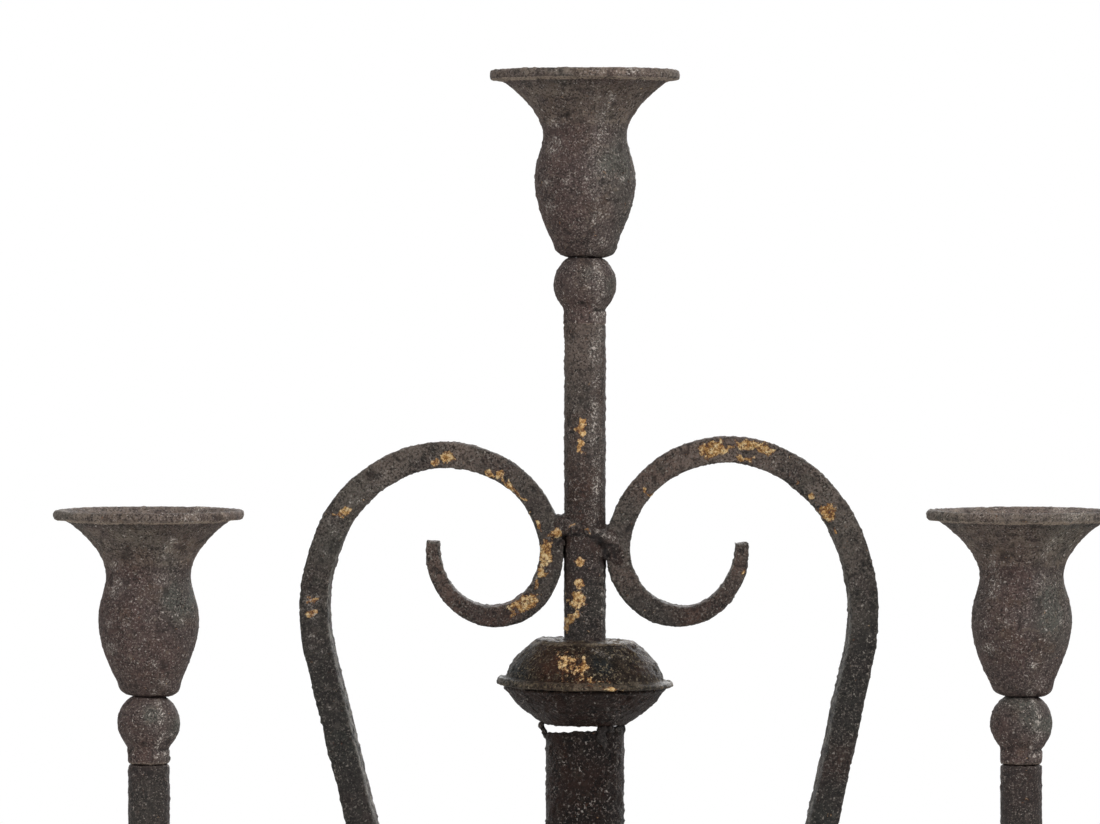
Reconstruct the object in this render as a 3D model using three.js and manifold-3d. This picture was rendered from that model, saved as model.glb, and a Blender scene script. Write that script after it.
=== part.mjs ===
// A forged and welded iron torchere candle stand for three candles. Sizes are millimetres, +Z is up, and
// the origin lies on the floor under the shaft. The scrolls and the candle arms lie in the XZ plane.
import * as THREE from 'three';
import { mergeVertices } from 'three/addons/utils/BufferGeometryUtils.js';
import { ConvexGeometry } from 'three/addons/geometries/ConvexGeometry.js';
import Module from 'manifold-3d';

const wasm = await Module();
wasm.setup();

// Driving dimensions. Heights of the head are drops below the rim of the middle cup.
const standHeight = 1600; // floor to the middle rim
const sideCupDrop = 185; // rims of the side cups
const sideCupReach = 184; // axis of a side cup from the shaft's axis
const tailBendDrop = 700; // where a scroll's tail comes upright against the shaft
const tailLength = 40; // upright end of a tail
const armBelowTail = 18; // from the end of a tail down to the top of an arm, where it leaves the shaft
const shaftBelowWelds = 92; // lower end of the shaft below the legs' welds
const bar = 12; // square bar of the scrolls and the arms
const legBar = 14; // square bar of the legs
const pipe = { outer: 17.5 / 2, bore: 12.9 / 2, middleLength: 132.7, sideLength: 56 }; // thin pipes
const shaft = { outer: 33 / 2, bore: 27.8 / 2 }; // main tube
const clearance = 0.3; // left between pieces that touch

const cup = {
  rimRadius: 39.4,
  rimHeight: 4.2,
  rimEdge: 1.8, // width of the rim's top
  lipRadius: 36.8, // under the rim, where the dish starts
  neckRadius: 17.7,
  neckDrop: 28,
  bulbRadius: 21.2,
  bulbDrop: 47.5,
  footRadius: 7.2,
  height: 78.4,
  socketRadius: 14.5,
  socketDepth: 60,
};
const screw = { radius: 2.7, headRadius: 5.6, headHeight: 3, engagement: 19, slotWidth: 1.3, slotDepth: 1.2 };
const ball = { radius: 13.2, seatRadius: 6.9, collarLength: 7.4, spigotLength: 16, drillPoint: 6 };
const knop = {
  flangeRadius: 37,
  domeRadius: 33.3,
  crownRadius: 19,
  wall: 1.6,
  pipeHoleGap: 1.1,
  upper: { height: 18.3, tilt: 1.8, shoulder: { radius: 32.5, rise: 0.5 } }, // fitted a little out of true
  lower: { height: 16.4, tilt: 0.4, shoulder: { radius: 30.5, rise: 0.45 } },
};
const tack = { height: 5, radius: 2.1, azimuths: { left: 180, front: -66, right: -4, back: 58 } };
const band = { height: 26, thickness: 4 };
const pad = { radius: 17, height: 6 };
const finial = { radius: 21, lip: 1.5, collarLength: 5, spigotLength: 20 };
const weld = { reach: 6, spread: 1.8, height: 17, armSpread: 3.6 };

// Scrolls: two bars forged by hand, so each has its own bends. The curl's free end is drawn down thin.
const scrollOverKnop = 5.7; // lowest point of a curl above the knop's crown
const scrollTaper = [[0, 5.3], [60, 9.8], [125, 10], [195, bar]]; // [distance along the bar, thickness]
const scrollTurns = [50, 50, 50, 50, 45, 45, 45];
const scrolls = {
  left: { azimuth: 180, heading: -87.2, radii: [30.1, 23.1, 23.5, 31.3, 43.3, 47.8, 53.5, 79.8], lean: 13.9 },
  right: { azimuth: 0, heading: -86.7, radii: [30.7, 23.3, 25.9, 31.1, 45.4, 47.4, 57.3, 83], lean: 12.3 },
};
const arm = { rootRadius: 100, tenonLength: 26 };

// Legs: a curl like the scrolls', a straight shin, then a reverse sweep into a scrolled foot.
const legTaper = [[0, 6], [50, 11.5], [95, 12], [150, legBar]];
const leg = {
  heading: -86,
  shinLength: 165,
  curlRadii: [24, 18.5, 19, 25, 34, 44, 70],
  curlTurns: [50, 50, 50, 50, 45, 45, 58],
  footRadii: [100, 40, 28, 21, 16],
  footTurns: [59, 15, 60, 60, 60],
};

const arcStep = 10; // most degrees between the points of a bent bar
const arcChord = 26; // and most millimetres
const turnedSides = 20;
const colours = {
  cup: 0x544943,
  pipe: 0x4f4540,
  bar: 0x3d3a36,
  shaft: 0x37302c,
  weld: 0x45403b,
  screw: 0x6b6560,
};

const radians = THREE.MathUtils.degToRad;
const stand = new THREE.Group();
stand.name = 'torchere_candle_stand';

function addPiece(name, geometry, colour, parent = stand) {
  const material = new THREE.MeshStandardMaterial({ color: colour, roughness: 0.72, metalness: 0.55 });
  const mesh = new THREE.Mesh(geometry, material);
  mesh.name = name;
  parent.add(mesh);
  return mesh;
}

// A group turned about the shaft's axis, its origin at a distance from it.
function turnedGroup(azimuth, reach = 0) {
  const group = new THREE.Group();
  group.rotation.z = radians(azimuth);
  group.position.set(reach * Math.cos(radians(azimuth)), reach * Math.sin(radians(azimuth)), 0);
  stand.add(group);
  return group;
}

// A turned solid about the Z axis. Its outline of [radius, height] pairs runs up the outer side.
function turned(outline, sides = turnedSides) {
  const points = outline.map(([radius, height]) => new THREE.Vector2(radius, height));
  if (points[0].x > 0) points.push(points[0].clone());
  return new THREE.LatheGeometry(points, sides).rotateX(Math.PI / 2);
}

function tubeBetween(bottom, top, outer, bore, sides = 24) {
  return turned([[bore, bottom], [outer, bottom], [outer, top], [bore, top]], sides);
}

// The [radius, height] points of a cubic curve through its two ends, shaped by the two handles between.
function curved(divisions, ...corners) {
  const points = corners.map(([radius, height]) => new THREE.Vector2(radius, height));
  return new THREE.CubicBezierCurve(...points).getPoints(divisions).map(({ x, y }) => [x, y]);
}

// The part of a ball's outline between two heights from its centre.
function ballOutline(radius, from, to, steps) {
  const [low, high] = [Math.asin(from / radius), Math.asin(to / radius)];
  return Array.from({ length: steps + 1 }, (_, i) => {
    const angle = THREE.MathUtils.lerp(low, high, i / steps);
    return [radius * Math.cos(angle), radius * Math.sin(angle)];
  });
}

function toSolid(geometry) {
  const bare = geometry.clone();
  bare.deleteAttribute('normal');
  bare.deleteAttribute('uv');
  const merged = mergeVertices(bare, 1e-3);
  const vertProperties = merged.attributes.position.array;
  const triVerts = new Uint32Array(merged.index.array);
  return new wasm.Manifold(new wasm.Mesh({ numProp: 3, vertProperties, triVerts }));
}

function toGeometry(solid) {
  const { vertProperties, triVerts } = solid.getMesh();
  const geometry = new THREE.BufferGeometry();
  geometry.setAttribute('position', new THREE.BufferAttribute(vertProperties, 3));
  geometry.setIndex(new THREE.BufferAttribute(triVerts, 1));
  geometry.computeVertexNormals();
  return geometry;
}

function cut(geometry, ...tools) {
  return toGeometry(tools.reduce((solid, tool) => solid.subtract(toSolid(tool)), toSolid(geometry)));
}

// The centre line of a bent bar: a chain of tangent arcs { radius, turn } and straights { run } in a plane
// of distance and height. Turns are in degrees, and a positive one is anticlockwise.
function bentLine(start, heading, bends) {
  const at = start.clone();
  let angle = radians(heading);
  let travelled = 0;
  const line = [{ point: at.clone(), angle, travelled }];
  for (const { radius, turn = 0, run } of bends) {
    const swept = Math.abs(radians(turn));
    const steps = turn ? Math.ceil(Math.max(Math.abs(turn) / arcStep, radius * swept / arcChord)) : 1;
    const stepTurn = radians(turn) / steps;
    const chord = turn ? 2 * radius * Math.sin(Math.abs(stepTurn) / 2) : run;
    for (let i = 0; i < steps; i += 1) {
      angle += stepTurn / 2;
      at.add(new THREE.Vector2(Math.cos(angle), Math.sin(angle)).multiplyScalar(chord));
      angle += stepTurn / 2;
      travelled += chord;
      line.push({ point: at.clone(), angle, travelled });
    }
  }
  return line;
}

// A forged bar's thickness in the plane of its bends, from [travelled, thickness] stations.
function thicknessAt(stations, travelled) {
  const next = stations.findIndex(([distance]) => distance >= travelled);
  if (next === 0) return stations[0][1];
  if (next < 0) return stations.at(-1)[1];
  const [[fromTravel, from], [toTravel, to]] = [stations[next - 1], stations[next]];
  return THREE.MathUtils.mapLinear(travelled, fromTravel, toTravel, from, to);
}

// A flat forged bar along a centre line, grown by an allowance where it serves as a cutting tool.
function forgedBar(line, stations, depth, allowance = 0) {
  const face = (side) => line.map(({ point, angle, travelled }) => {
    const half = side * (thicknessAt(stations, travelled) / 2 + allowance);
    return new THREE.Vector2(point.x - half * Math.sin(angle), point.y + half * Math.cos(angle));
  });
  const outline = new THREE.Shape([...face(-1), ...face(1).reverse()]);
  const full = depth + 2 * allowance;
  const geometry = new THREE.ExtrudeGeometry(outline, { depth: full, bevelEnabled: false, steps: 1 });
  return geometry.translate(0, 0, -full / 2).rotateX(Math.PI / 2);
}

// Where the back of a bar's curl comes nearest to the upright that it is welded to.
function curlBack(line, stations) {
  const faces = line.map(({ point, travelled }) => (
    { reach: point.x - thicknessAt(stations, travelled) / 2, height: point.y }));
  return faces.reduce((best, face) => (face.reach < best.reach ? face : best));
}

function lowestPoint(line) {
  return line.reduce((best, mark) => (mark.point.y < best.point.y ? mark : best));
}

// A lump of weld round a contact with an upright tube, cut clear of the tube and of the bar.
function weldLump(tubeRadius, height, [reach, spread, rise], grownBar) {
  const lump = new THREE.SphereGeometry(1, 10, 7).scale(reach, spread, rise).translate(tubeRadius, 0, height);
  return cut(lump, tubeBetween(height - 2 * rise, height + 2 * rise, tubeRadius + clearance, 0), grownBar);
}

// Candle cup: a dished rim over a waisted bulb, with a straight socket and a countersunk hole in its floor.
function candleCup() {
  const { rimRadius, rimHeight, lipRadius, neckRadius, neckDrop, bulbRadius, bulbDrop } = cup;
  const { footRadius, height, socketRadius, socketDepth } = cup;
  const bellyRise = height - bulbDrop;
  const waistRise = bulbDrop - neckDrop;
  const flareRise = neckDrop - rimHeight;
  const belly = curved(6, [footRadius, -height], [footRadius + 5.8, -height + 0.05 * bellyRise],
    [bulbRadius, -bulbDrop - 0.34 * bellyRise], [bulbRadius, -bulbDrop]);
  const waist = curved(4, [bulbRadius, -bulbDrop], [bulbRadius, -bulbDrop + 0.49 * waistRise],
    [neckRadius, -neckDrop - 0.26 * waistRise], [neckRadius, -neckDrop]);
  const flareRadius = THREE.MathUtils.lerp(neckRadius, lipRadius, 0.49);
  const flare = curved(5, [neckRadius, -neckDrop], [neckRadius, -neckDrop + 0.38 * flareRise],
    [flareRadius, -rimHeight - 0.26 * flareRise], [lipRadius, -rimHeight]);
  const dishEdge = rimRadius - cup.rimEdge;
  const dishRadius = THREE.MathUtils.lerp(socketRadius, dishEdge, 0.41);
  const dish = curved(5, [dishEdge, 0], [dishRadius, -0.29 * neckDrop],
    [socketRadius, -0.64 * neckDrop], [socketRadius, -neckDrop]);
  const hole = screw.radius + clearance;
  return turned([
    [hole, -height], ...belly, ...waist.slice(1), ...flare.slice(1),
    [rimRadius, -rimHeight], [rimRadius, 0], ...dish,
    [socketRadius, -socketDepth], [screw.headRadius + clearance, -socketDepth],
    [hole, -socketDepth - screw.headHeight],
  ]);
}

// Slotted countersunk screw that holds the cup on the ball, its head flush with the socket's floor.
function cupScrew() {
  const top = -cup.socketDepth;
  const end = -cup.height - screw.engagement;
  const body = turned([[0, end], [screw.radius, end], [screw.radius, top - screw.headHeight],
    [screw.headRadius, top], [0, top]], 14);
  const slot = new THREE.BoxGeometry(3 * screw.headRadius, screw.slotWidth, 2 * screw.slotDepth);
  return cut(body, slot.translate(0, 0, top));
}

// Heights of the ball, from the rim of its own cup.
const collarRadius = pipe.outer + 0.1;
const ballTop = -cup.height - clearance;
const ballCentre = ballTop - Math.sqrt(ball.radius ** 2 - ball.seatRadius ** 2);
const collarTop = ballCentre - Math.sqrt(ball.radius ** 2 - collarRadius ** 2);
const collarEnd = collarTop - ball.collarLength;

// Ball under a cup: turned in one piece with its collar and the spigot that plugs the pipe.
function cupBall() {
  const tapped = screw.radius + clearance;
  const tappedEnd = ballTop - screw.engagement - ball.drillPoint;
  const spigot = pipe.bore - clearance;
  const spigotEnd = collarEnd - ball.spigotLength;
  const round = ballOutline(ball.radius, collarTop - ballCentre, ballTop - ballCentre, 8);
  return turned([
    [0, spigotEnd], [spigot, spigotEnd], [spigot, collarEnd], [collarRadius, collarEnd],
    ...round.map(([radius, height]) => [radius, ballCentre + height]),
    [tapped, ballTop], [tapped, tappedEnd], [0, tappedEnd],
  ]);
}

// A cup with its screw and ball, the rim at the given height.
function addLight(prefix, rimHeight, parent = stand) {
  const light = new THREE.Group();
  light.position.z = rimHeight;
  parent.add(light);
  addPiece(`${prefix}_candle_cup`, candleCup(), colours.cup, light);
  addPiece(`${prefix}_cup_screw`, cupScrew(), colours.screw, light);
  addPiece(`${prefix}_cup_ball`, cupBall(), colours.cup, light);
}

// One pressed shell, its flange at height 0 and its dome upwards. A hole radius of 0 leaves the crown whole.
function knopShell({ height, shoulder }, holeRadius) {
  const { wall, flangeRadius, domeRadius, crownRadius } = knop;
  const dome = (inset) => {
    const [foot, top] = [[domeRadius - inset, wall - inset], [crownRadius - inset / 2, height - inset]];
    const handle = [shoulder.radius - inset, shoulder.rise * height - inset / 2];
    const points = [foot, handle, top].map(([radius, rise]) => new THREE.Vector2(radius, rise));
    return new THREE.QuadraticBezierCurve(...points).getPoints(6).map(({ x, y }) => [x, y]);
  };
  const skin = [[flangeRadius, 0], [flangeRadius, wall], ...dome(0), [holeRadius, height]];
  const inside = [[holeRadius, height - wall], ...dome(wall).reverse()];
  return turned(holeRadius ? [...skin, ...inside] : [...inside, ...skin], 30);
}

// The knop's two shells meet flange to flange, as close as their tilts let them.
const tiltSpread = radians(knop.upper.tilt - knop.lower.tilt) * knop.flangeRadius;
const crownHeight = standHeight + collarEnd - pipe.middleLength;
const upperFlange = crownHeight - knop.upper.height;
const lowerFlange = upperFlange - clearance - tiltSpread;
const knopBottom = lowerFlange - knop.lower.height;
const shaftTop = knopBottom - tack.height;

function addKnop() {
  const pipeHole = pipe.outer + knop.pipeHoleGap;
  const upper = addPiece('knop_upper_shell', knopShell(knop.upper, pipeHole), colours.shaft);
  upper.position.z = upperFlange;
  upper.rotation.y = radians(knop.upper.tilt);
  const lower = addPiece('knop_lower_shell', knopShell(knop.lower, 0), colours.shaft);
  lower.position.z = lowerFlange;
  lower.rotation.set(Math.PI, radians(-knop.lower.tilt), 0);
  const pipeEnd = knopBottom + knop.wall + 2 * clearance;
  const middlePipe = tubeBetween(pipeEnd, standHeight + collarEnd - clearance, pipe.outer, pipe.bore);
  addPiece('middle_pipe', middlePipe, colours.pipe);
  for (const [side, azimuth] of Object.entries(tack.azimuths)) {
    const bead = tubeBetween(shaftTop + clearance, knopBottom - 2 * clearance, tack.radius, 0, 8);
    addPiece(`knop_tack_${side}`, bead, colours.weld, turnedGroup(azimuth, (shaft.outer + shaft.bore) / 2));
  }
}

// One scroll: its curl touches the pipe, and its tail leans in until an easy bend lays it on the shaft.
function scrollLine({ heading, radii, lean }) {
  const lastTurn = 450 + lean + heading - scrollTurns.reduce((sum, turn) => sum + turn);
  const curl = [...scrollTurns, lastTurn].map((turn, i) => ({ radius: radii[i], turn: -turn }));
  const draft = bentLine(new THREE.Vector2(), heading, curl);
  const coil = draft.filter(({ travelled }) => travelled < scrollTaper.at(-1)[0]);
  const lowest = lowestPoint(coil);
  const underside = lowest.point.y - thicknessAt(scrollTaper, lowest.travelled) / 2;
  const tip = new THREE.Vector2(
    pipe.outer + clearance - curlBack(draft, scrollTaper).reach,
    crownHeight + scrollOverKnop - underside,
  );
  const end = draft.at(-1).point.clone().add(tip);
  const inward = end.x - (shaft.outer + clearance + bar / 2);
  const down = end.y - (standHeight - tailBendDrop);
  const [sine, cosine] = [Math.sin(radians(lean)), Math.cos(radians(lean))];
  const radius = (down * sine - inward * cosine) / (1 - cosine);
  const run = (inward - radius * (1 - cosine)) / sine;
  return bentLine(tip, heading, [...curl, { run }, { radius, turn: lean }, { run: tailLength }]);
}

function addScrolls() {
  for (const [side, spec] of Object.entries(scrolls)) {
    const line = scrollLine(spec);
    const group = turnedGroup(spec.azimuth);
    addPiece(`${side}_scroll`, forgedBar(line, scrollTaper, bar), colours.bar, group);
    const size = [weld.reach, bar / 2 + weld.spread, weld.height];
    const grown = forgedBar(line, scrollTaper, bar, clearance);
    const lump = weldLump(pipe.outer, curlBack(line, scrollTaper).height, size, grown);
    addPiece(`${side}_scroll_weld`, lump, colours.weld, group);
  }
}

// A strap bent tight round the shaft and the two tails that lie against it.
function addWaistBand() {
  const cornerReach = shaft.outer + clearance + bar;
  const wrap = (spread, height) => {
    const points = [];
    for (let angle = 7.5; angle < 360; angle += 15) {
      const [x, y] = [Math.cos(radians(angle)), Math.sin(radians(angle))];
      const corner = [Math.sign(x) * cornerReach + spread * x, Math.sign(y) * bar / 2 + spread * y];
      for (const z of [-height / 2, height / 2]) {
        points.push(new THREE.Vector3((shaft.outer + spread) * x, (shaft.outer + spread) * y, z));
        points.push(new THREE.Vector3(...corner, z));
      }
    }
    return new ConvexGeometry(points);
  };
  const strap = cut(wrap(clearance + band.thickness, band.height), wrap(clearance, 2 * band.height));
  const middleOfTails = standHeight - tailBendDrop - tailLength / 2;
  addPiece('waist_band', strap, colours.bar).position.z = middleOfTails;
}

// A candle arm leaves the shaft level, sweeps up under its cup and enters the side pipe with a round tenon.
// Its second arc is the one that carries it from the first to upright just under the pipe.
function addArm(side, azimuth) {
  const rimHeight = standHeight - sideCupDrop;
  const pipeTop = rimHeight + collarEnd - clearance;
  const pipeBottom = pipeTop - pipe.sideLength;
  const tailEnd = standHeight - tailBendDrop - tailLength;
  const root = new THREE.Vector2(shaft.bore, tailEnd - armBelowTail - bar / 2);
  const across = sideCupReach - root.x - arm.rootRadius;
  const rise = pipeBottom - clearance - root.y - arm.rootRadius;
  const lift = 2 * Math.atan(rise / across) - Math.PI / 2;
  const upperRadius = arm.rootRadius + across / (1 - Math.sin(lift));
  const rootTurn = THREE.MathUtils.radToDeg(lift);
  const line = bentLine(root, 0, [
    { radius: arm.rootRadius, turn: rootTurn }, { radius: upperRadius, turn: 90 - rootTurn },
  ]);
  const even = [[0, bar]];
  const shaftTool = tubeBetween(root.y - 2 * bar, root.y + 2 * bar, shaft.outer + clearance, 0);
  const swept = toSolid(forgedBar(line, even, bar)).subtract(toSolid(shaftTool));
  const tenon = tubeBetween(pipeBottom - bar / 2, pipeBottom + arm.tenonLength, pipe.bore - clearance, 0, 16);
  const group = turnedGroup(azimuth);
  const joined = swept.add(toSolid(tenon.translate(sideCupReach, 0, 0)));
  addPiece(`${side}_arm`, toGeometry(joined), colours.bar, group);
  const size = [weld.reach, bar / 2 + weld.armSpread, bar / 2 + weld.armSpread];
  const bead = weldLump(shaft.outer, root.y, size, forgedBar(line, even, bar, clearance));
  addPiece(`${side}_arm_weld`, bead, colours.weld, group);
  const light = turnedGroup(azimuth, sideCupReach);
  addPiece(`${side}_arm_pipe`, tubeBetween(pipeBottom, pipeTop, pipe.outer, pipe.bore), colours.pipe, light);
  addLight(side, rimHeight, light);
}

// A leg's centre line, its curl against the shaft and its lowest point on the pad.
function legLine() {
  const bends = [
    ...leg.curlTurns.map((turn, i) => ({ radius: leg.curlRadii[i], turn: -turn })),
    { run: leg.shinLength },
    ...leg.footTurns.map((turn, i) => ({ radius: leg.footRadii[i], turn })),
  ];
  const draft = bentLine(new THREE.Vector2(), leg.heading, bends);
  const lowest = lowestPoint(draft).point;
  const back = curlBack(draft, legTaper);
  const tip = new THREE.Vector2(shaft.outer - back.reach, pad.height + legBar / 2 - lowest.y);
  tip.addScalar(clearance);
  const line = bentLine(tip, leg.heading, bends);
  return { line, padReach: tip.x + lowest.x, weldHeight: tip.y + back.height };
}

function addLegs({ line, padReach, weldHeight }) {
  const size = [weld.reach, legBar / 2 + weld.spread, weld.height];
  const grown = forgedBar(line, legTaper, legBar, clearance);
  for (let i = 0; i < 4; i += 1) {
    const group = turnedGroup(90 * i);
    addPiece(`leg_${i + 1}`, forgedBar(line, legTaper, legBar), colours.bar, group);
    addPiece(`leg_weld_${i + 1}`, weldLump(shaft.outer, weldHeight, size, grown), colours.weld, group);
    const disc = tubeBetween(0, pad.height, pad.radius, 0);
    addPiece(`foot_pad_${i + 1}`, disc, colours.shaft, turnedGroup(90 * i, padReach));
  }
}

// Drop finial: a ball on a collar, with a spigot that closes the lower end of the shaft.
function shaftFinial(shaftEnd) {
  const collar = shaft.outer + finial.lip;
  const collarBase = Math.sqrt(finial.radius ** 2 - collar ** 2);
  const seat = collarBase + finial.collarLength;
  const spigot = shaft.bore - clearance;
  const outline = [
    ...ballOutline(finial.radius, -finial.radius, collarBase, 11),
    [collar, seat], [spigot, seat], [spigot, seat + finial.spigotLength], [0, seat + finial.spigotLength],
  ];
  return turned(outline, 24).translate(0, 0, shaftEnd - seat - clearance);
}

addLight('middle', standHeight);
addKnop();
addScrolls();
addWaistBand();
addArm('left', 180);
addArm('right', 0);
const legs = legLine();
addLegs(legs);
const shaftEnd = legs.weldHeight - shaftBelowWelds;
addPiece('main_shaft', tubeBetween(shaftEnd, shaftTop, shaft.outer, shaft.bore, 32), colours.shaft);
addPiece('shaft_finial', shaftFinial(shaftEnd), colours.shaft);

export default stand;
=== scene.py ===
import math

import bmesh
import bpy
import numpy as np
from mathutils import Matrix, Vector


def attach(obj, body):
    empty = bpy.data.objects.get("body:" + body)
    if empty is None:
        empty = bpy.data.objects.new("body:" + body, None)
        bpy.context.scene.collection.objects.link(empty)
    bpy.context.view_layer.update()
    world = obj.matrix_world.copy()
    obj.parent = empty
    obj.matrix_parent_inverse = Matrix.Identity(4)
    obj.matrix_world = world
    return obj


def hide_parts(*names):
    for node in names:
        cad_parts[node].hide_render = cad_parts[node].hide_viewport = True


# Old painted iron torchere for three candles. Sizes are millimetres in the CAD's frame and turn into metres
# where a mesh is made. Every bar, cup and tube repeats its CAD shape with the hand-made surface on it.
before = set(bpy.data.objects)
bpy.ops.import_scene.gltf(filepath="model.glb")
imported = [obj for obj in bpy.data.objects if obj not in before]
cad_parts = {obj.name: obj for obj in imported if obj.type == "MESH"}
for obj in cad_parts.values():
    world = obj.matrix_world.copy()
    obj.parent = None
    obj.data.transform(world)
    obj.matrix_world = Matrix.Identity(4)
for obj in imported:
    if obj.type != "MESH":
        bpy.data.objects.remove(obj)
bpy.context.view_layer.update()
scene = bpy.context.scene
mm = 0.001
stand = {"height": 1600, "sideCupDrop": 185, "sideCupReach": 184}
bar, legBar = 12, 14  # square bars of the scrolls and arms, and of the legs
pipe = {"outer": 17.5 / 2, "bore": 12.9 / 2, "middle": 132.7, "side": 56}
shaft = {"outer": 33 / 2, "bore": 27.8 / 2}
gap = 0.3  # left between pieces that touch
print("frame loaded:", len(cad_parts), "nodes")


# Camera, light and floor

camera = {"place": (0, -2413, 1508.8), "aim": (-14.7, 0, 1456.2), "lens": 187.5}  # eye level with the ball
studio = {
    "white": 1,  # what the camera sees behind the stand
    "room": (0.27, 1.3),  # light that the iron gets from the camera's side and from the white backdrop
    "lamps": [  # place, aim, side in metres, watts
        ((1700, -2200, 3300), (0, 0, 1400), 1.4, 88),
        ((-2300, -2000, 2300), (0, 0, 1350), 1.4, 30),
        ((600, 2600, 2600), (0, 0, 1400), 1.8, 40),
    ],
    "floorRadius": 40,
    "fade": (1, 4.5),  # metres over which the floor runs out into white
    "floor": "#e9e7e3",
}


def linear(hexColour):
    parts = [int(hexColour[i:i + 2], 16) / 255 for i in (1, 3, 5)]
    return [c / 12.92 if c <= 0.04045 else ((c + 0.055) / 1.055) ** 2.4 for c in parts] + [1]


def addNode(tree, kind, inputs=None, **settings):
    node = tree.nodes.new("ShaderNode" + kind)
    for setting, value in settings.items():
        setattr(node, setting, value)
    for socket, value in (inputs or {}).items():
        if isinstance(value, bpy.types.Node):
            value = value.outputs[0]
        if isinstance(value, bpy.types.NodeSocket):
            tree.links.new(value, node.inputs[socket])
        else:
            node.inputs[socket].default_value = value
    return node


def newMaterial(name):
    material = bpy.data.materials.new(name)
    material.use_nodes = True
    tree = material.node_tree
    return material, tree, tree.nodes["Principled BSDF"]


def addAimed(name, data, place, aim):
    thing = bpy.data.objects.new(name, data)
    thing.location = Vector(place) * mm
    thing.rotation_euler = (Vector(aim) * mm - thing.location).to_track_quat("-Z", "Y").to_euler()
    scene.collection.objects.link(thing)
    return thing


def addCamera():
    data = bpy.data.cameras.new("photoCamera")
    data.lens = camera["lens"]
    data.sensor_width = 36
    data.clip_end = 200
    scene.camera = addAimed("photoCamera", data, camera["place"], camera["aim"])


def addStudio():
    world = bpy.data.worlds.new("whiteRoom")
    world.use_nodes = True
    tree = world.node_tree
    tree.nodes.clear()
    path = addNode(tree, "LightPath")
    towards = addNode(tree, "SeparateXYZ", {0: addNode(tree, "TexCoord").outputs["Generated"]})
    room = addNode(tree, "MapRange", {
        "Value": towards.outputs["Y"], "From Min": 0.1, "From Max": 0.95,
        "To Min": studio["room"][0], "To Max": studio["room"][1]}, interpolation_type="SMOOTHSTEP")
    level = addNode(tree, "MapRange", {
        "Value": path.outputs["Is Camera Ray"], "To Min": room, "To Max": studio["white"]})
    white = addNode(tree, "Background", {"Color": (1, 1, 1, 1), "Strength": level})
    addNode(tree, "OutputWorld", {"Surface": white})
    scene.world = world
    for place, aim, side, watts in studio["lamps"]:
        data = bpy.data.lights.new("softbox", "AREA")
        data.energy = watts
        data.size = side
        addAimed("softbox", data, place, aim)


# Pale matt floor: even paint, so nothing but the stand's own shadow shows, running out into white.
def paleFloor():
    material, tree, shader = newMaterial("paleFloor")
    shader.inputs["Base Color"].default_value = linear(studio["floor"])
    shader.inputs["Roughness"].default_value = 0.9
    place = addNode(tree, "TexCoord").outputs["Object"]
    away = addNode(tree, "VectorMath", {0: place}, operation="LENGTH")
    near, far = studio["fade"]
    fade = addNode(tree, "MapRange", {"Value": away.outputs["Value"], "From Min": near, "From Max": far},
                   interpolation_type="SMOOTHSTEP")
    path = addNode(tree, "LightPath")
    level = addNode(tree, "MapRange", {
        "Value": path.outputs["Is Camera Ray"], "To Min": studio["room"][0], "To Max": studio["white"]})
    white = addNode(tree, "Emission", {"Color": (1, 1, 1, 1), "Strength": level})
    mixed = addNode(tree, "MixShader", {0: fade, 1: shader, 2: white})
    tree.links.new(mixed.outputs[0], tree.nodes["Material Output"].inputs["Surface"])
    return material


def addFloor():
    build = bmesh.new()
    bmesh.ops.create_circle(build, cap_ends=True, segments=128, radius=studio["floorRadius"])
    mesh = bpy.data.meshes.new("studioFloor")
    build.to_mesh(mesh)
    build.free()
    mesh.materials.append(paleFloor())
    floor = bpy.data.objects.new("studioFloor", mesh)
    scene.collection.objects.link(floor)


scene.view_settings.view_transform = "Standard"
addCamera()
addStudio()
addFloor()
print("camera, light and floor made")


# Finishes. Each is iron under old brown-black paint gone matt. Layers are (size in mm, from, to, colour, amount),
# cover is how thin and thick the fine ones lie, and the pale-by-height entry is (amount, from height, to height):
# a paler tone mixed in more the higher a point stands.

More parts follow.
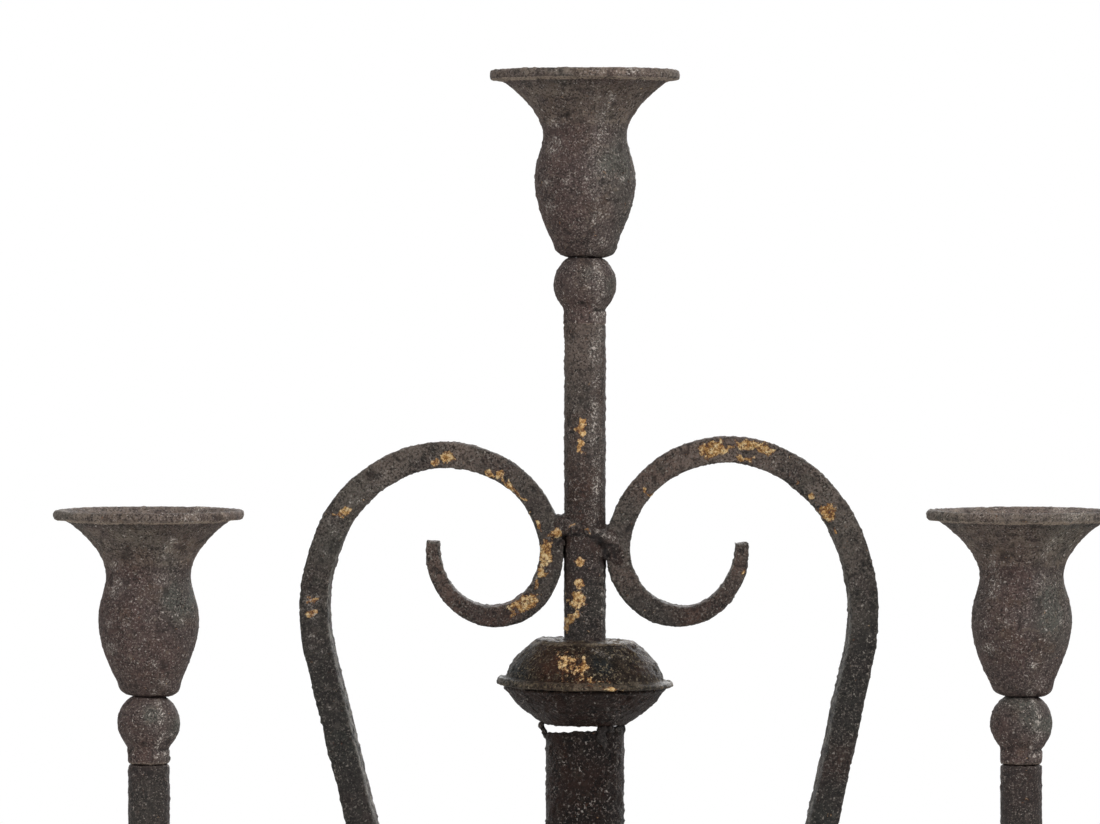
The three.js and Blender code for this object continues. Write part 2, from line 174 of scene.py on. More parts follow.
finishes = {
    # Sand-cast iron: an even grit with pale dust in it, and grey-green bloom over purple-brown paint.
    "sandCastIron": {
        "slot": "cup_iron", "gloss": 0.35, "roughness": (0.55, 0.85), "bump": 0.45, "cover": (0.7, 1.05),
        "base": "#463a38", "tints": ("#4a3734", "#484b45"),
        "layers": [
            (15, 0.52, 0.66, "#54402f", 0.4),
            (4.5, 0.5, 0.64, "#332a28", 0.35),
            (0.9, 0.46, 0.6, "#1f1817", 0.85),
            (0.75, 0.54, 0.66, "#94877f", 0.8),
            (1.4, 0.63, 0.7, "#d2c8bf", 0.6),
        ],
        "paleWithHeight": (0.06, 0, 1), "wearAndHighlightShare": 0.8, "pit": "#1f1816", "peak": "#7d7064", "edge": "#b09e8c"},
    # Drawn gas pipe: the same paint, thinner, with rust warming the edges of the tube.
    "paintedGasPipe": {
        "slot": "pipe_iron", "gloss": 0.35, "roughness": (0.36, 0.66), "bump": 0.7, "cover": (0.6, 1.1),
        "base": "#332825", "tints": ("#40291f", "#37342f"),
        "layers": [
            (12, 0.53, 0.66, "#452b20", 0.5),
            (4.5, 0.5, 0.64, "#241d1b", 0.4),
            (0.9, 0.46, 0.59, "#120e0d", 0.85),
            (0.75, 0.54, 0.64, "#887c74", 0.8),
            (1.4, 0.63, 0.7, "#c9beb5", 0.6),
        ],
        "paleWithHeight": (0.31, 1422, 1472), "wearAndHighlightShare": 0.3, "pit": "#141010", "peak": "#5e534e", "edge": "#7d7169"},
    # Forged square bar: charcoal with brown and plum patches, scaly from the fire, its arrises rubbed pale and given
    # a painted highlight.
    "forgedBarIron": {
        "slot": "bar_iron", "gloss": 0.35, "roughness": (0.34, 0.66), "bump": 1.5, "cover": (0.68, 1.15),
        "base": "#373330", "tints": ("#543b32", "#343a36"),
        "layers": [
            (15, 0.5, 0.64, "#423634", 0.55),
            (9, 0.54, 0.66, "#30332d", 0.5),
            (4.5, 0.52, 0.64, "#221f1e", 0.4),
            (2.2, 0.56, 0.66, "#151211", 0.55),
            (1, 0.46, 0.59, "#110f0e", 0.72),
            (0.75, 0.54, 0.65, "#8b827a", 0.62),
            (1.6, 0.62, 0.7, "#c2b9ae", 0.55),
        ],
        "paleWithHeight": (0.46, 1352, 1438), "wearAndHighlightShare": 0.8, "pit": "#0f0d0d", "peak": "#6c655e", "edge": "#a29c92"},
    # Steam tube: the thickest and darkest paint, with a dull shine and blisters.
    "thickPaintedTube": {
        "slot": "shaft_iron", "gloss": 0.2, "roughness": (0.28, 0.56), "bump": 1.2, "cover": (0.3, 1.25),
        "base": "#251b18", "tints": ("#35211a", "#25272a"),
        "layers": [
            (12, 0.52, 0.66, "#33231b", 0.5),
            (4, 0.5, 0.62, "#151110", 0.5),
            (1, 0.45, 0.58, "#060505", 0.92),
            (0.9, 0.56, 0.65, "#7b716b", 0.75),
            (1.3, 0.62, 0.68, "#b3aba4", 0.65),
        ],
        "paleWithHeight": (0, 0, 1), "wearAndHighlightShare": 0.6, "pit": "#0b0908", "peak": "#40372f", "edge": "#6d6356"},
    # Pressed shells of the knop: brown paint, scratched, and rubbed pale along the rim and the crown, with a painted
    # highlight line on both.
    "pressedKnopShell": {
        "slot": "shaft_iron", "gloss": 0.14, "roughness": (0.32, 0.6), "bump": 0.8, "cover": (0.55, 1.1),
        "base": "#302620", "tints": ("#43291e", "#2a2f30"),
        "layers": [
            (13, 0.5, 0.64, "#3a2d21", 0.5),
            (4, 0.52, 0.64, "#17110e", 0.5),
            (1, 0.46, 0.6, "#0c0908", 0.85),
            (0.9, 0.55, 0.64, "#83765f", 0.75),
            (1.6, 0.63, 0.7, "#b5a993", 0.6),
        ],
        "paleWithHeight": (0, 0, 1), "wearAndHighlightShare": 0.8, "pit": "#0d0a08", "peak": "#4f453a", "edge": "#8d7f6d"},
    # Weld metal: cooled drops under the same paint, a little browner where it has rusted.
    "coolWeldMetal": {
        "slot": "weld_iron", "gloss": 0.35, "roughness": (0.34, 0.64), "bump": 0.9, "cover": (0.5, 1.1),
        "base": "#302724", "tints": ("#3d2a23", "#302f2b"),
        "layers": [
            (5, 0.5, 0.64, "#1d1817", 0.5),
            (0.9, 0.46, 0.58, "#0d0b0a", 0.9),
            (0.75, 0.54, 0.63, "#867b74", 0.8),
            (1.5, 0.62, 0.69, "#c0b5aa", 0.65),
        ],
        "paleWithHeight": (0.1, 1390, 1438), "wearAndHighlightShare": 0.4, "pit": "#0f0c0c", "peak": "#5a514a", "edge": "#7d736a"},
}
gold = {  # worn leaf over red-brown size: bright crumbs, with the size showing round them and between them
    "ramp": ((0.42, "#6b3f26"), (0.49, "#c79350"), (0.59, "#fbe4b2")), "size": "#74482f", "crumb": 1.3,
    "drift": (2.8, 1.5), "stray": (21, 0.7, 2.2),  # noise: size in mm, how rare, how strong
    "ragged": 2.5, "raggedness": 2.4, "sized": (1.58, 1.67), "held": (1.68, 1.74), "whole": (0.41, 0.46)}
# pale specks: dust, and painted highlight specks and glints where light catches the front
dustAndGlints = {"tone": "#c9c0b7", "size": 0.95, "specks": (0.53, 0.61)}
paleHighTone = "#a08f83"  # pale tone mixed in more the higher a point stands


def layered(tree, place, colour, layers, thin=0.5, thick=1.1):
    cover = addNode(tree, "TexNoise", {"Vector": place, "Scale": 1 / (9 * mm), "Detail": 3})
    patchy = addNode(tree, "MapRange", {
        "Value": cover, "From Min": 0.38, "From Max": 0.6, "To Min": thin, "To Max": thick})
    for seed, (size, low, high, tone, amount) in enumerate(layers):
        fine = size < 2
        cloud = addNode(tree, "TexNoise", {
            "Vector": place, "W": seed * 7.3, "Scale": 1 / (size * mm), "Detail": 2 if fine else 4,
            "Roughness": 0.6}, noise_dimensions="4D")
        mask = addNode(tree, "MapRange", {
            "Value": cloud, "From Min": low, "From Max": high, "To Max": amount}, interpolation_type="SMOOTHSTEP")
        if fine:
            mask = addNode(tree, "Math", {0: mask, 1: patchy}, operation="MULTIPLY")
        colour = addNode(tree, "Mix", {0: mask, 6: colour, 7: linear(tone)}, data_type="RGBA").outputs[2]
    return colour


# Masks a mesh carries: relief is its own pits and peaks, pale spots its dust and painted highlights, gilt its old
# leaf.
def agedPaint(name, look):
    material, tree, shader = newMaterial(name)
    shader.inputs["Specular IOR Level"].default_value = look["gloss"]
    place = addNode(tree, "TexCoord").outputs["Object"]
    relief, wearAndHighlight, paleWithHeight, dustAndGlintAmount, gilt, tint = [
        addNode(tree, "Attribute", attribute_name=mask).outputs["Fac"]
        for mask in ("relief", "wearAndHighlight", "paleWithHeight", "dustAndGlints", "gilt", "tint")]

    def grain(size, detail, roughness):
        return {"Vector": place, "Scale": 1 / (size * mm), "Detail": detail, "Roughness": roughness}

    def ramp(value, span, least=0, most=1):
        return {"Value": value, "From Min": span[0], "From Max": span[1], "To Min": least, "To Max": most}

    def marked(colour, marks):
        for value, span, amount, tone in marks:
            mask = addNode(tree, "MapRange", ramp(value, span, 0, amount))
            colour = addNode(tree, "Mix", {0: mask, 6: colour, 7: linear(tone)}, data_type="RGBA").outputs[2]
        return colour

    warm, cool = look["tints"]
    # a paler tone higher up, then the pale edge tone on rubbed arrises and bands and on painted highlights
    colour = marked(linear(look["base"]), [
        (tint, (-0.1, -0.8), 0.9, warm), (tint, (0.1, 0.8), 0.9, cool),
        (paleWithHeight, (0, 1), 1, paleHighTone), (wearAndHighlight, (0.1, 1), look["wearAndHighlightShare"], look["edge"])])
    colour = layered(tree, place, colour, look["layers"], *look["cover"])
    colour = marked(colour, [
        (relief, (-0.2, -1), 0.5, look["pit"]), (relief, (-1.4, -2.6), 0.85, look["pit"]),
        (relief, (0.3, 1), 0.4, look["peak"])])

    crumbs = addNode(tree, "TexNoise", grain(gold["crumb"], 3, 0.7))
    powder = addNode(tree, "TexNoise", grain(dustAndGlints["size"], 5, 0.75))
    raggedness = addNode(tree, "TexNoise", grain(gold["ragged"], 5, 0.7))
    pimples = addNode(tree, "TexNoise", grain(2.6, 6, 0.72))

    # pale specks of dust, and of painted highlight where the streak and glints lie
    specks = addNode(tree, "MapRange", ramp(powder, dustAndGlints["specks"], 0.03), interpolation_type="SMOOTHSTEP")
    dustAndGlintSpecks = addNode(tree, "Math", {0: dustAndGlintAmount, 1: specks}, operation="MULTIPLY", use_clamp=True)
    giltEdge = addNode(tree, "Math", {0: raggedness, 1: gold["raggedness"], 2: gilt}, operation="MULTIPLY_ADD")
    sized = addNode(tree, "MapRange", ramp(giltEdge, gold["sized"], 0, 0.9))
    held = addNode(tree, "MapRange", ramp(giltEdge, gold["held"]))
    whole = addNode(tree, "MapRange", ramp(crumbs, gold["whole"], 0.1))
    giltMask = addNode(tree, "Math", {0: held, 1: whole}, operation="MULTIPLY")
    lustre = addNode(tree, "Mix", {0: 0.45, 2: powder, 3: raggedness})
    leaf = addNode(tree, "ValToRGB", {"Fac": lustre})
    stops = leaf.color_ramp.elements
    stops.new(0.5)
    for stop, (position, tone) in zip(stops, gold["ramp"]):
        stop.position = position
        stop.color = linear(tone)
    for mask, tone in ((sized, linear(gold["size"])), (giltMask, leaf), (dustAndGlintSpecks, linear(dustAndGlints["tone"]))):
        colour = addNode(tree, "Mix", {0: mask, 6: colour, 7: tone}, data_type="RGBA").outputs[2]
    tree.links.new(colour, shader.inputs["Base Color"])

    shine = addNode(tree, "MapRange", ramp(powder, (0.3, 0.7), *look["roughness"]))
    matted = addNode(tree, "Math", {0: paleWithHeight, 1: 0.6, 2: shine}, operation="MULTIPLY_ADD")
    tree.links.new(matted.outputs[0], shader.inputs["Roughness"])
    grit = addNode(tree, "Math", {0: pimples, 1: 2, 2: powder}, operation="MULTIPLY_ADD")
    raised = addNode(tree, "Math", {0: giltMask, 1: 0.5, 2: grit}, operation="MULTIPLY_ADD")
    bump = addNode(tree, "Bump", {"Height": raised, "Strength": 1, "Distance": look["bump"] * mm})
    tree.links.new(bump.outputs[0], shader.inputs["Normal"])
    return material


# Bright-drawn steel of the screws, dulled: brush lines run across the head, with brown rust in the slot.
def dullScrewSteel():
    material, tree, shader = newMaterial("dullScrewSteel")
    shader.inputs["Metallic"].default_value = 0.9
    place = addNode(tree, "TexCoord").outputs["Object"]
    lines = addNode(tree, "Mapping", {"Vector": place, "Scale": (1 / (0.3 * mm), 1 / (6 * mm), 200)})
    brushed = addNode(tree, "TexNoise", {"Vector": lines, "Scale": 1, "Detail": 3})
    rust = [(4, 0.5, 0.7, "#5d4535", 0.8), (1.2, 0.55, 0.7, "#4a4039", 0.6)]
    colour = layered(tree, place, linear("#8b867f"), rust)
    shine = addNode(tree, "MapRange", {"Value": brushed, "To Min": 0.3, "To Max": 0.62})
    bump = addNode(tree, "Bump", {"Height": brushed, "Strength": 0.3, "Distance": 0.1 * mm})
    tree.links.new(colour, shader.inputs["Base Color"])
    tree.links.new(shine.outputs[0], shader.inputs["Roughness"])
    tree.links.new(bump.outputs[0], shader.inputs["Normal"])
    return material


materials = {name: agedPaint(name, look) for name, look in finishes.items()}
print("finishes made:", len(materials) + 1)


# Surfaces. Each skin is what the maker's process left: (size, height) of its sway and bumps, and pits or blisters
# as (size, height, how rare), in millimetres.

skins = {
    "cast": {"sway": (16, 0.25), "bumps": [(3, 0.1), (1.4, 0.12)],
        "marks": [(3.4, -0.3, 0.4), (2.2, 0.25, 0.42)]},
    "drawn": {"sway": (22, 0.12), "bumps": [(3.4, 0.1), (1.5, 0.14)],
        "marks": [(3.6, -0.25, 0.4), (2.2, 0.25, 0.38)]},
    "forged": {"sway": (17, 0.4), "bumps": [(3.2, 0.12), (1.6, 0.16)],
        "marks": [(3.4, -0.4, 0.34), (2.3, 0.3, 0.36)]},
    "blistered": {"sway": (20, 0.2), "bumps": [(3.6, 0.16), (1.6, 0.2)],
        "marks": [(2.8, 0.5, 0.3), (4.5, -0.3, 0.4)]},
    "shell": {"sway": (18, 0.25), "bumps": [(4.5, 0.18), (1.7, 0.2)],
        "marks": [(3.4, 0.35, 0.38), (5, -0.35, 0.4)]},
    "molten": {"sway": (9, 0.4), "bumps": [(2.6, 0.22), (1.3, 0.18)],
        "marks": [(2.2, -0.4, 0.34)]},
}
maskNoise = {  # what makes the masks uneven, as (size in mm, strength, layer of noise)
    "wander": (12, 1.8, 30), "highlightStreak": (7, 1.4, 31), "paleWithHeight": (26, 0.7, 60), "rubbedAndHighlight": (4, 0.8, 70),
    "bare": (3.4, 1.1, 71), "tint": (34, 1.3, 80), "patch": (9, 0.8, 81),
}


def noise(points, size, seed):
    shuffled = np.random.default_rng(seed)
    table = shuffled.permutation(256)
    slopes = shuffled.normal(size=(256, 3))
    slopes /= np.linalg.norm(slopes, axis=1)[:, None]
    scaled = points / size
    cell = np.floor(scaled).astype(int)
    inside = scaled - cell
    ease = inside ** 3 * (inside * (inside * 6 - 15) + 10)
    total = np.zeros(len(points))
    for corner in np.ndindex(2, 2, 2):
        key = table[(cell[:, 2] + corner[2]) & 255]
        key = table[(key + cell[:, 1] + corner[1]) & 255]
        key = table[(key + cell[:, 0] + corner[0]) & 255]
        share = np.where(corner, ease, 1 - ease).prod(axis=1)
        total += share * ((inside - corner) * slopes[key]).sum(axis=1)
    return total * 1.8


def facesWith(size, faces):
    return np.array([face for face in faces if len(face) == size], int).reshape(-1, size)


def signedVolume(points, faces):
    total = 0
    for size in (3, 4):
        chosen = facesWith(size, faces)
        for k in range(1, size - 1):
            a, b, c = points[chosen[:, 0]], points[chosen[:, k]], points[chosen[:, k + 1]]
            total += np.einsum("ij,ij->i", a, np.cross(b, c)).sum()
    return total


# Where the clean shape turns sharply outwards, so that use has worn it and a painted highlight lies along it: 0 on a
# face, 1 on an arris.
def convexity(points, faces, normals):
    total = np.zeros((len(points), 3))
    count, reach = np.zeros((2, len(points)))
    for size in (3, 4):
        chosen = facesWith(size, faces)
        for k in range(size):
            a, b = chosen[:, k], chosen[:, (k + 1) % size]
            apart = points[b] - points[a]
            for axis in range(3):
                total[:, axis] += np.bincount(a, apart[:, axis], len(points))
            count += np.bincount(a, minlength=len(points))
            reach += np.bincount(a, (apart ** 2).sum(axis=1), len(points))
    bend = -2 * np.einsum("ij,ij->i", total / count[:, None], normals) / (reach / count)
    return np.clip((bend - 0.25) / 0.5, 0, 1)


# How far each point lies inside the old leaf that still holds on the front, and stray crumbs of it at the back.
# Marks are (x, height, half width, half height, lean), and a share where the leaf is thin.
def giltMask(points, normals, marks, seed):
    mask = np.zeros(len(points))
    if not marks:
        return mask
    size, drift = gold["drift"]
    points = points + np.column_stack([drift * noise(points, size, seed + 50 + k) for k in range(3)])
    for x, z, wide, high, lean, *share in marks:
        turn = math.radians(lean)
        along = (points[:, 0] - x) * math.cos(turn) + (points[:, 2] - z) * math.sin(turn)
        across = (points[:, 2] - z) * math.cos(turn) - (points[:, 0] - x) * math.sin(turn)
        left = 1 - 0.5 * np.hypot(along / wide, across / high) ** 2
        mask = np.maximum(mask, left * (share[0] if share else 1))
    mask *= normals[:, 1] < 0.1
    size, rarity, strength = gold["stray"]
    stray = (noise(points, size, seed + 40) - rarity) * strength * (normals[:, 1] > 0.3)
    return np.clip(np.maximum(mask, stray), 0, 1)


# A finished piece. Marks on its front are given by x and height: dents (half width, half height, depth), one of
# which paints shade with its dark pit tone, pale spots, which are chips of dust and painted glints, and tints, both
# (size, amount). Pale bands are (from height, to height, amount) of rubbed paint and painted highlight lines, and
# the streak is a painted highlight of (x, half width, amount, from height), broken into specks. The inner-face mark
# is 1 or -1 for a painted highlight on the face to the right or the left.
def addPiece(name, shape, finish, skin, stands, gilding=(), highlightStreak=None, dentsAndShade=(), specksAndGlints=(), rubbedAndHighlight=(), tints=(),
             bare=0, seed=0):
    points, faces = shape
    if signedVolume(points, faces) < 0:
        faces = [face[::-1] for face in faces]
    mesh = bpy.data.meshes.new(name)
    mesh.from_pydata((points * mm).tolist(), [], faces)
    normals = np.empty(len(points) * 3, np.float32)
    mesh.vertex_normals.foreach_get("vector", normals)
    normals = normals.reshape(-1, 3).astype(float)
    across, up = points[:, 0], points[:, 2]
    front = normals[:, 1] < 0
    look = skins[skin]

    def uneven(size, strength, layer):
        return strength * noise(points, size, seed + layer)

    def spot(x, z, wide, high):
        return np.exp(-((across - x) / wide) ** 2 - ((up - z) / high) ** 2)

    rise = np.zeros(len(points))
    for k, (size, height) in enumerate(look["bumps"]):
        rise += uneven(size, height, k)
    for k, (size, height, rarity) in enumerate(look["marks"]):
        rise += height * np.clip((uneven(size, 1, 10 + k) - rarity) / 0.25, 0, 1)
    relief = rise / (2.5 * rise.std())
    hollowAndShade = np.zeros(len(points))
    for *place, depth in dentsAndShade:
        near = spot(*place)
        rise -= depth * near * (normals[:, 1] < 0.3)
        # dark pit tone in a dent; on the weld drops under the knop a shallow dent paints shade this way
        hollowAndShade = np.maximum(hollowAndShade, min(1, 1.6 * max(depth, 0)) * near * front)
    relief -= 3 * hollowAndShade
    rise += uneven(*look["sway"], 20)

    wearAndHighlight = convexity(points, faces, normals)
    # pale bands: rubbed paint, and painted highlight lines along rims, crowns and beads
    for low, high, amount in rubbedAndHighlight:
        soft = 0.15 * (high - low)
        band = np.clip((up - low) / soft, 0, 1) * np.clip((high - up) / soft, 0, 1)
        wearAndHighlight = np.maximum(wearAndHighlight, amount * band * (1 + uneven(*maskNoise["rubbedAndHighlight"])))
    # painted highlight: a pale strip on the side face of a scroll bar turned to the other scroll
    if bare:
        thin = np.clip(bare * normals[:, 0] * 4 - 2.6, 0, 1) * np.clip(0.5 + uneven(*maskNoise["bare"]), 0, 1)
        wearAndHighlight = np.maximum(wearAndHighlight, thin)
    # paler the higher a point stands
    amount, low, high = finishes[finish]["paleWithHeight"]
    paleWithHeight = amount * np.clip((up - low) / (high - low), 0, 1) * (1 + uneven(*maskNoise["paleWithHeight"]))
    tint = uneven(*maskNoise["tint"])
    for x, z, size, amount in tints:
        tint += (amount * (1 + uneven(*maskNoise["patch"])) - tint) * spot(x, z, size, size)
    dustAndGlintAmount = np.zeros(len(points))
    # painted highlight: a pale streak, broken into specks, down the lit right side of the middle cup, ball and pipe
    if highlightStreak:
        x, width, amount, low = highlightStreak
        dustAndGlintAmount = amount * np.exp(-((across - x + uneven(*maskNoise["wander"])) / width) ** 2)
        dustAndGlintAmount *= front * np.clip(0.75 + uneven(*maskNoise["highlightStreak"]), 0, 1.5) * np.clip((up - low) / 30, 0, 1)
    # pale spots: chips of dust, and painted glints on lit curves and weld ridges
    for x, z, size, amount in specksAndGlints:
        dustAndGlintAmount = np.maximum(dustAndGlintAmount, amount * spot(x, z, size, size) * front)
    dustAndGlintAmount *= 1 - hollowAndShade
    masks = {"relief": relief, "gilt": giltMask(points, normals, gilding, seed), "dustAndGlints": dustAndGlintAmount, "wearAndHighlight": wearAndHighlight,
             "paleWithHeight": paleWithHeight, "tint": tint}

    mesh.vertices.foreach_set("co", ((points + rise[:, None] * normals) * mm).astype(np.float32).ravel())
    for mask, values in masks.items():
        mesh.attributes.new(mask, "FLOAT", "POINT").data.foreach_set("value", values.astype(np.float32))
    mesh.materials.append(materials[finish])
    mesh.shade_smooth()
    mesh.update()
    piece = bpy.data.objects.new(name, mesh)
    scene.collection.objects.link(piece)
    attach(piece, "root")
    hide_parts(*stands)


# Quads between rings of points. A wrapped skin joins its last ring to its first; the others close with a fan.
def skinned(rings, wrapped):
    count, around = rings.shape[:2]
    row, column = np.meshgrid(np.arange(count if wrapped else count - 1), np.arange(around), indexing="ij")
    ahead, beside = (row + 1) % count, (column + 1) % around
    corners = [row * around + column, row * around + beside, ahead * around + beside, ahead * around + column]
    faces = np.stack(corners, -1).reshape(-1, 4).tolist()
    points = rings.reshape(-1, 3)
    if not wrapped:
        for ring, first in ((rings[0], 0), (rings[-1], (count - 1) * around)):
            centre = len(points)
            points = np.vstack([points, ring.mean(axis=0)])
            fan = [[centre, first + (j + 1) % around, first + j] for j in range(around)]
            faces += fan if first == 0 else [face[::-1] for face in fan]
    return points, faces


# Points evenly along an outline, its corners eased over about two spacings.
def evenly(outline, spacing, closed, ease=2):
    outline = np.array(outline, float)
    if closed:
        outline = np.vstack([outline, outline[:1]])
    travelled = np.insert(np.cumsum(np.hypot(*np.diff(outline, axis=0).T)), 0, 0)
    count = max(8, round(travelled[-1] / spacing))
    at = np.linspace(0, travelled[-1], count, endpoint=not closed)
    points = np.column_stack([np.interp(at, travelled, outline[:, k]) for k in (0, 1)])
    for _ in range(ease):
        if closed:
            points = (np.roll(points, 1, 0) + 2 * points + np.roll(points, -1, 0)) / 4
        else:
            points[1:-1] = (points[:-2] + 2 * points[1:-1] + points[2:]) / 4
    return points


# A turned shape about an upright axis, from an outline of (radius, height). With a bore it is closed.
# Between the heights of a plain stretch every other ring is left out.
def turned(outline, spacing, around, height=0, reach=0, azimuth=0, ease=2, plain=(0, 0)):
    bored = all(radius > 0 for radius, _ in outline)
    profile = evenly(outline, spacing, bored, ease)
    if not bored:
        profile = profile[1:-1]
    stretch = (profile[:, 1] > plain[0]) & (profile[:, 1] < plain[1])
    profile = profile[~stretch | (np.arange(len(profile)) % 2 == 0)]
    angle = np.linspace(0, 2 * math.pi, around, endpoint=False)
    radius = profile[:, 0]
    rings = np.stack([np.outer(radius, np.cos(angle)), np.outer(radius, np.sin(angle)),
                      np.repeat(profile[:, 1:], around, 1)], -1)
    turn = math.radians(azimuth)
    rings += np.array([reach * math.cos(turn), reach * math.sin(turn), height])
    return skinned(rings, bored)


# Points (radius, height) on an arc about the axis and a curve between two points, for the outlines.
def arc(radius, start, end, steps, middle=0):
    return [(radius * math.cos(angle), middle + radius * math.sin(angle))
            for angle in np.linspace(start, end, steps)]


def curved(a, b, c, d, steps=24):
    t = np.linspace(0, 1, steps)[:, None]
    a, b, c, d = (np.array(point, float) for point in (a, b, c, d))
    return ((1 - t) ** 3 * a + 3 * (1 - t) ** 2 * t * b + 3 * (1 - t) * t ** 2 * c + t ** 3 * d).tolist()


# The centre line of a bent bar, from tangent arcs (radius, turn) and straights (run,), as in the CAD.
def bentLine(start, heading, bends, spacing=0.6):
    places, angles, travelled = [np.array([start])], [np.array([math.radians(heading)])], [np.zeros(1)]
    for bend in bends:
        at, angle, gone = places[-1][-1], angles[-1][-1], travelled[-1][-1]
        length = bend[0] if len(bend) == 1 else bend[0] * abs(math.radians(bend[1]))
        steps = np.linspace(0, length, max(2, round(length / spacing)) + 1)[1:]
        if len(bend) == 1:
            places.append(at + np.outer(steps, [math.cos(angle), math.sin(angle)]))
            angles.append(np.full(len(steps), angle))
        else:
            radius, side = bend[0], math.copysign(1, bend[1])
            along = angle + side * steps / radius
            places.append(at + side * radius * np.column_stack([
                np.sin(along) - math.sin(angle), math.cos(angle) - np.cos(along)]))
            angles.append(along)
        travelled.append(gone + steps)
    return np.vstack(places), np.concatenate(angles), np.concatenate(travelled)


def thickness(taper, travelled):
    return np.interp(travelled, [station for station, _ in taper], [thick for _, thick in taper])


# Points given by reach, sideways and height, turned to an azimuth about the stand's axis.
def aimed(reach, beside, height, azimuth):
    turn = math.radians(azimuth)
    return np.stack([reach * math.cos(turn) - beside * math.sin(turn),
                     reach * math.sin(turn) + beside * math.cos(turn), height], -1)


# A forged bar on its centre line: a square section with eased arrises, closed by a rough cut at each end.
def swept(line, taper, depth, azimuth, spacing=0.6, arris=1.4, twist=((0, 0),)):
    places, angles, travelled = line
    keep = np.unique(np.searchsorted(travelled, np.arange(0, travelled[-1], spacing)))
    keep = np.append(keep[keep < len(travelled) - 1], len(travelled) - 1)
    places, angles, travelled = places[keep], angles[keep], travelled[keep]
    corners = []
    for x, y, start in ((1, 1, 0), (-1, 1, 90), (-1, -1, 180), (1, -1, 270)):
        for angle in np.radians(np.linspace(start, start + 90, 7)):
            corners.append((x * (depth / 2 - arris) + arris * math.cos(angle),
                            y * (depth / 2 - arris) + arris * math.sin(angle)))
    section = evenly(corners, spacing, True, 0) / depth
    ends = np.array([0.15, 0.4, 0.62, 0.8, 0.93])  # rings that close a cut
    order = np.concatenate([np.zeros(5, int), np.arange(len(keep)), np.full(5, len(keep) - 1)])
    shrink = np.concatenate([ends, np.ones(len(keep)), ends[::-1]])[:, None]
    roll = np.radians(thickness(twist, travelled[order]))[:, None] * math.cos(math.radians(azimuth))
    thick = shrink * thickness(taper, travelled[order])[:, None] * section[None, :, 0]
    deep = shrink * depth * section[None, :, 1]
    across = thick * np.cos(roll) - deep * np.sin(roll)
    beside = thick * np.sin(roll) + deep * np.cos(roll)
    reach = places[order, 0, None] - across * np.sin(angles[order])[:, None]
    height = places[order, 1, None] + across * np.cos(angles[order])[:, None]
    return skinned(aimed(reach, beside, height, azimuth), False)


# Lumps of (centre, half sizes) run together as weld does, by a voxel remesh and a few smoothing turns.
def fused(lumps, voxel, smooth, stubs=()):
    build = bmesh.new()
    for points, faces in stubs:
        corners = [build.verts.new(point) for point in points]
        for face in faces:
            build.faces.new([corners[k] for k in face])
    bmesh.ops.recalc_face_normals(build, faces=build.faces)
    for centre, size in lumps:
        bmesh.ops.create_icosphere(build, subdivisions=3, radius=1,
                                   matrix=Matrix.Translation(centre) @ Matrix.Diagonal((*size, 1)))
    mesh = bpy.data.meshes.new("lumps")
    build.to_mesh(mesh)
    build.free()
    shape = bpy.data.objects.new("lumps", mesh)
    scene.collection.objects.link(shape)
    remesh = shape.modifiers.new("run", "REMESH")
    remesh.mode = "VOXEL"
    remesh.voxel_size = voxel
    ease = shape.modifiers.new("ease", "SMOOTH")
    ease.iterations = smooth
    made = shape.evaluated_get(bpy.context.evaluated_depsgraph_get()).to_mesh()
    points = np.empty(len(made.vertices) * 3, np.float32)
    made.vertices.foreach_get("co", points)
    faces = [list(face.vertices) for face in made.polygons]
    bpy.data.objects.remove(shape)
    bpy.data.meshes.remove(mesh)
    return points.reshape(-1, 3).astype(float), faces


# Candle cups, their balls and screws

cup = {
    "rimRadius": 39.4, "rimHeight": 4.2, "rimEdge": 1.8, "lipRadius": 35.2, "neckRadius": 17.7, "neckDrop": 28,
    "bulbRadius": 21.2, "bulbDrop": 47.5, "footRadius": 7.2, "height": 78.4, "socketRadius": 14.5,
    "socketDepth": 60, "holeRadius": 3, "screwSeat": 5.9, "countersink": 3,
    # a painted highlight streak down the lit right side of the cup
    "highlightStreak": (6, 4, 0.4, 1400),
    # bands: rubbed paint on the rim, a painted highlight line along its lower edge, and a paler flare, partly dust
    # and partly painted light from below
    "rubbedAndHighlight": [(-3.7, 1, 0.36), (-4.9, -3.7, 1.3), (-25, -4.6, 0.3)],
    "tints": [(-7, -28, 12, -0.9), (-8, -58, 17, -0.8), (13, -40, 11, 1), (9, -20, 7, 0.5), (-20, -8, 12, 0.2)],
    "specksAndGlints": [
        (-12.2, -30.2, 2, 1.8), (-13.4, -33.6, 2.4, 1.2), (9.6, -15, 1.4, 2.4), (11.6, -12, 1.5, 2.6),
        (8, -18.2, 1.2, 1.8), (-14.7, -57.6, 2.2, 1.3), (3.8, -64.5, 1.4, 1.8), (-13, -22.8, 2.2, 1.2),
        (7, -72, 1.8, 1.4), (19.5, -1.6, 4, 1), (6.6, -28.6, 2.4, 1), (-16, -47.6, 1.6, 1.1), (-7.6, -47, 1.4, 1),
        (0.6, -45.6, 1, 1), (15.4, -46, 1.2, 1.4), (3, -76.4, 1.6, 1.2)],
    "dentsAndShade": [(10.6, -75.6, 4.2, 4, -1.8), (-12, -76, 3.6, 2.8, -1.2), (-8.4, -18.6, 3, 2.4, 0.35)],
}
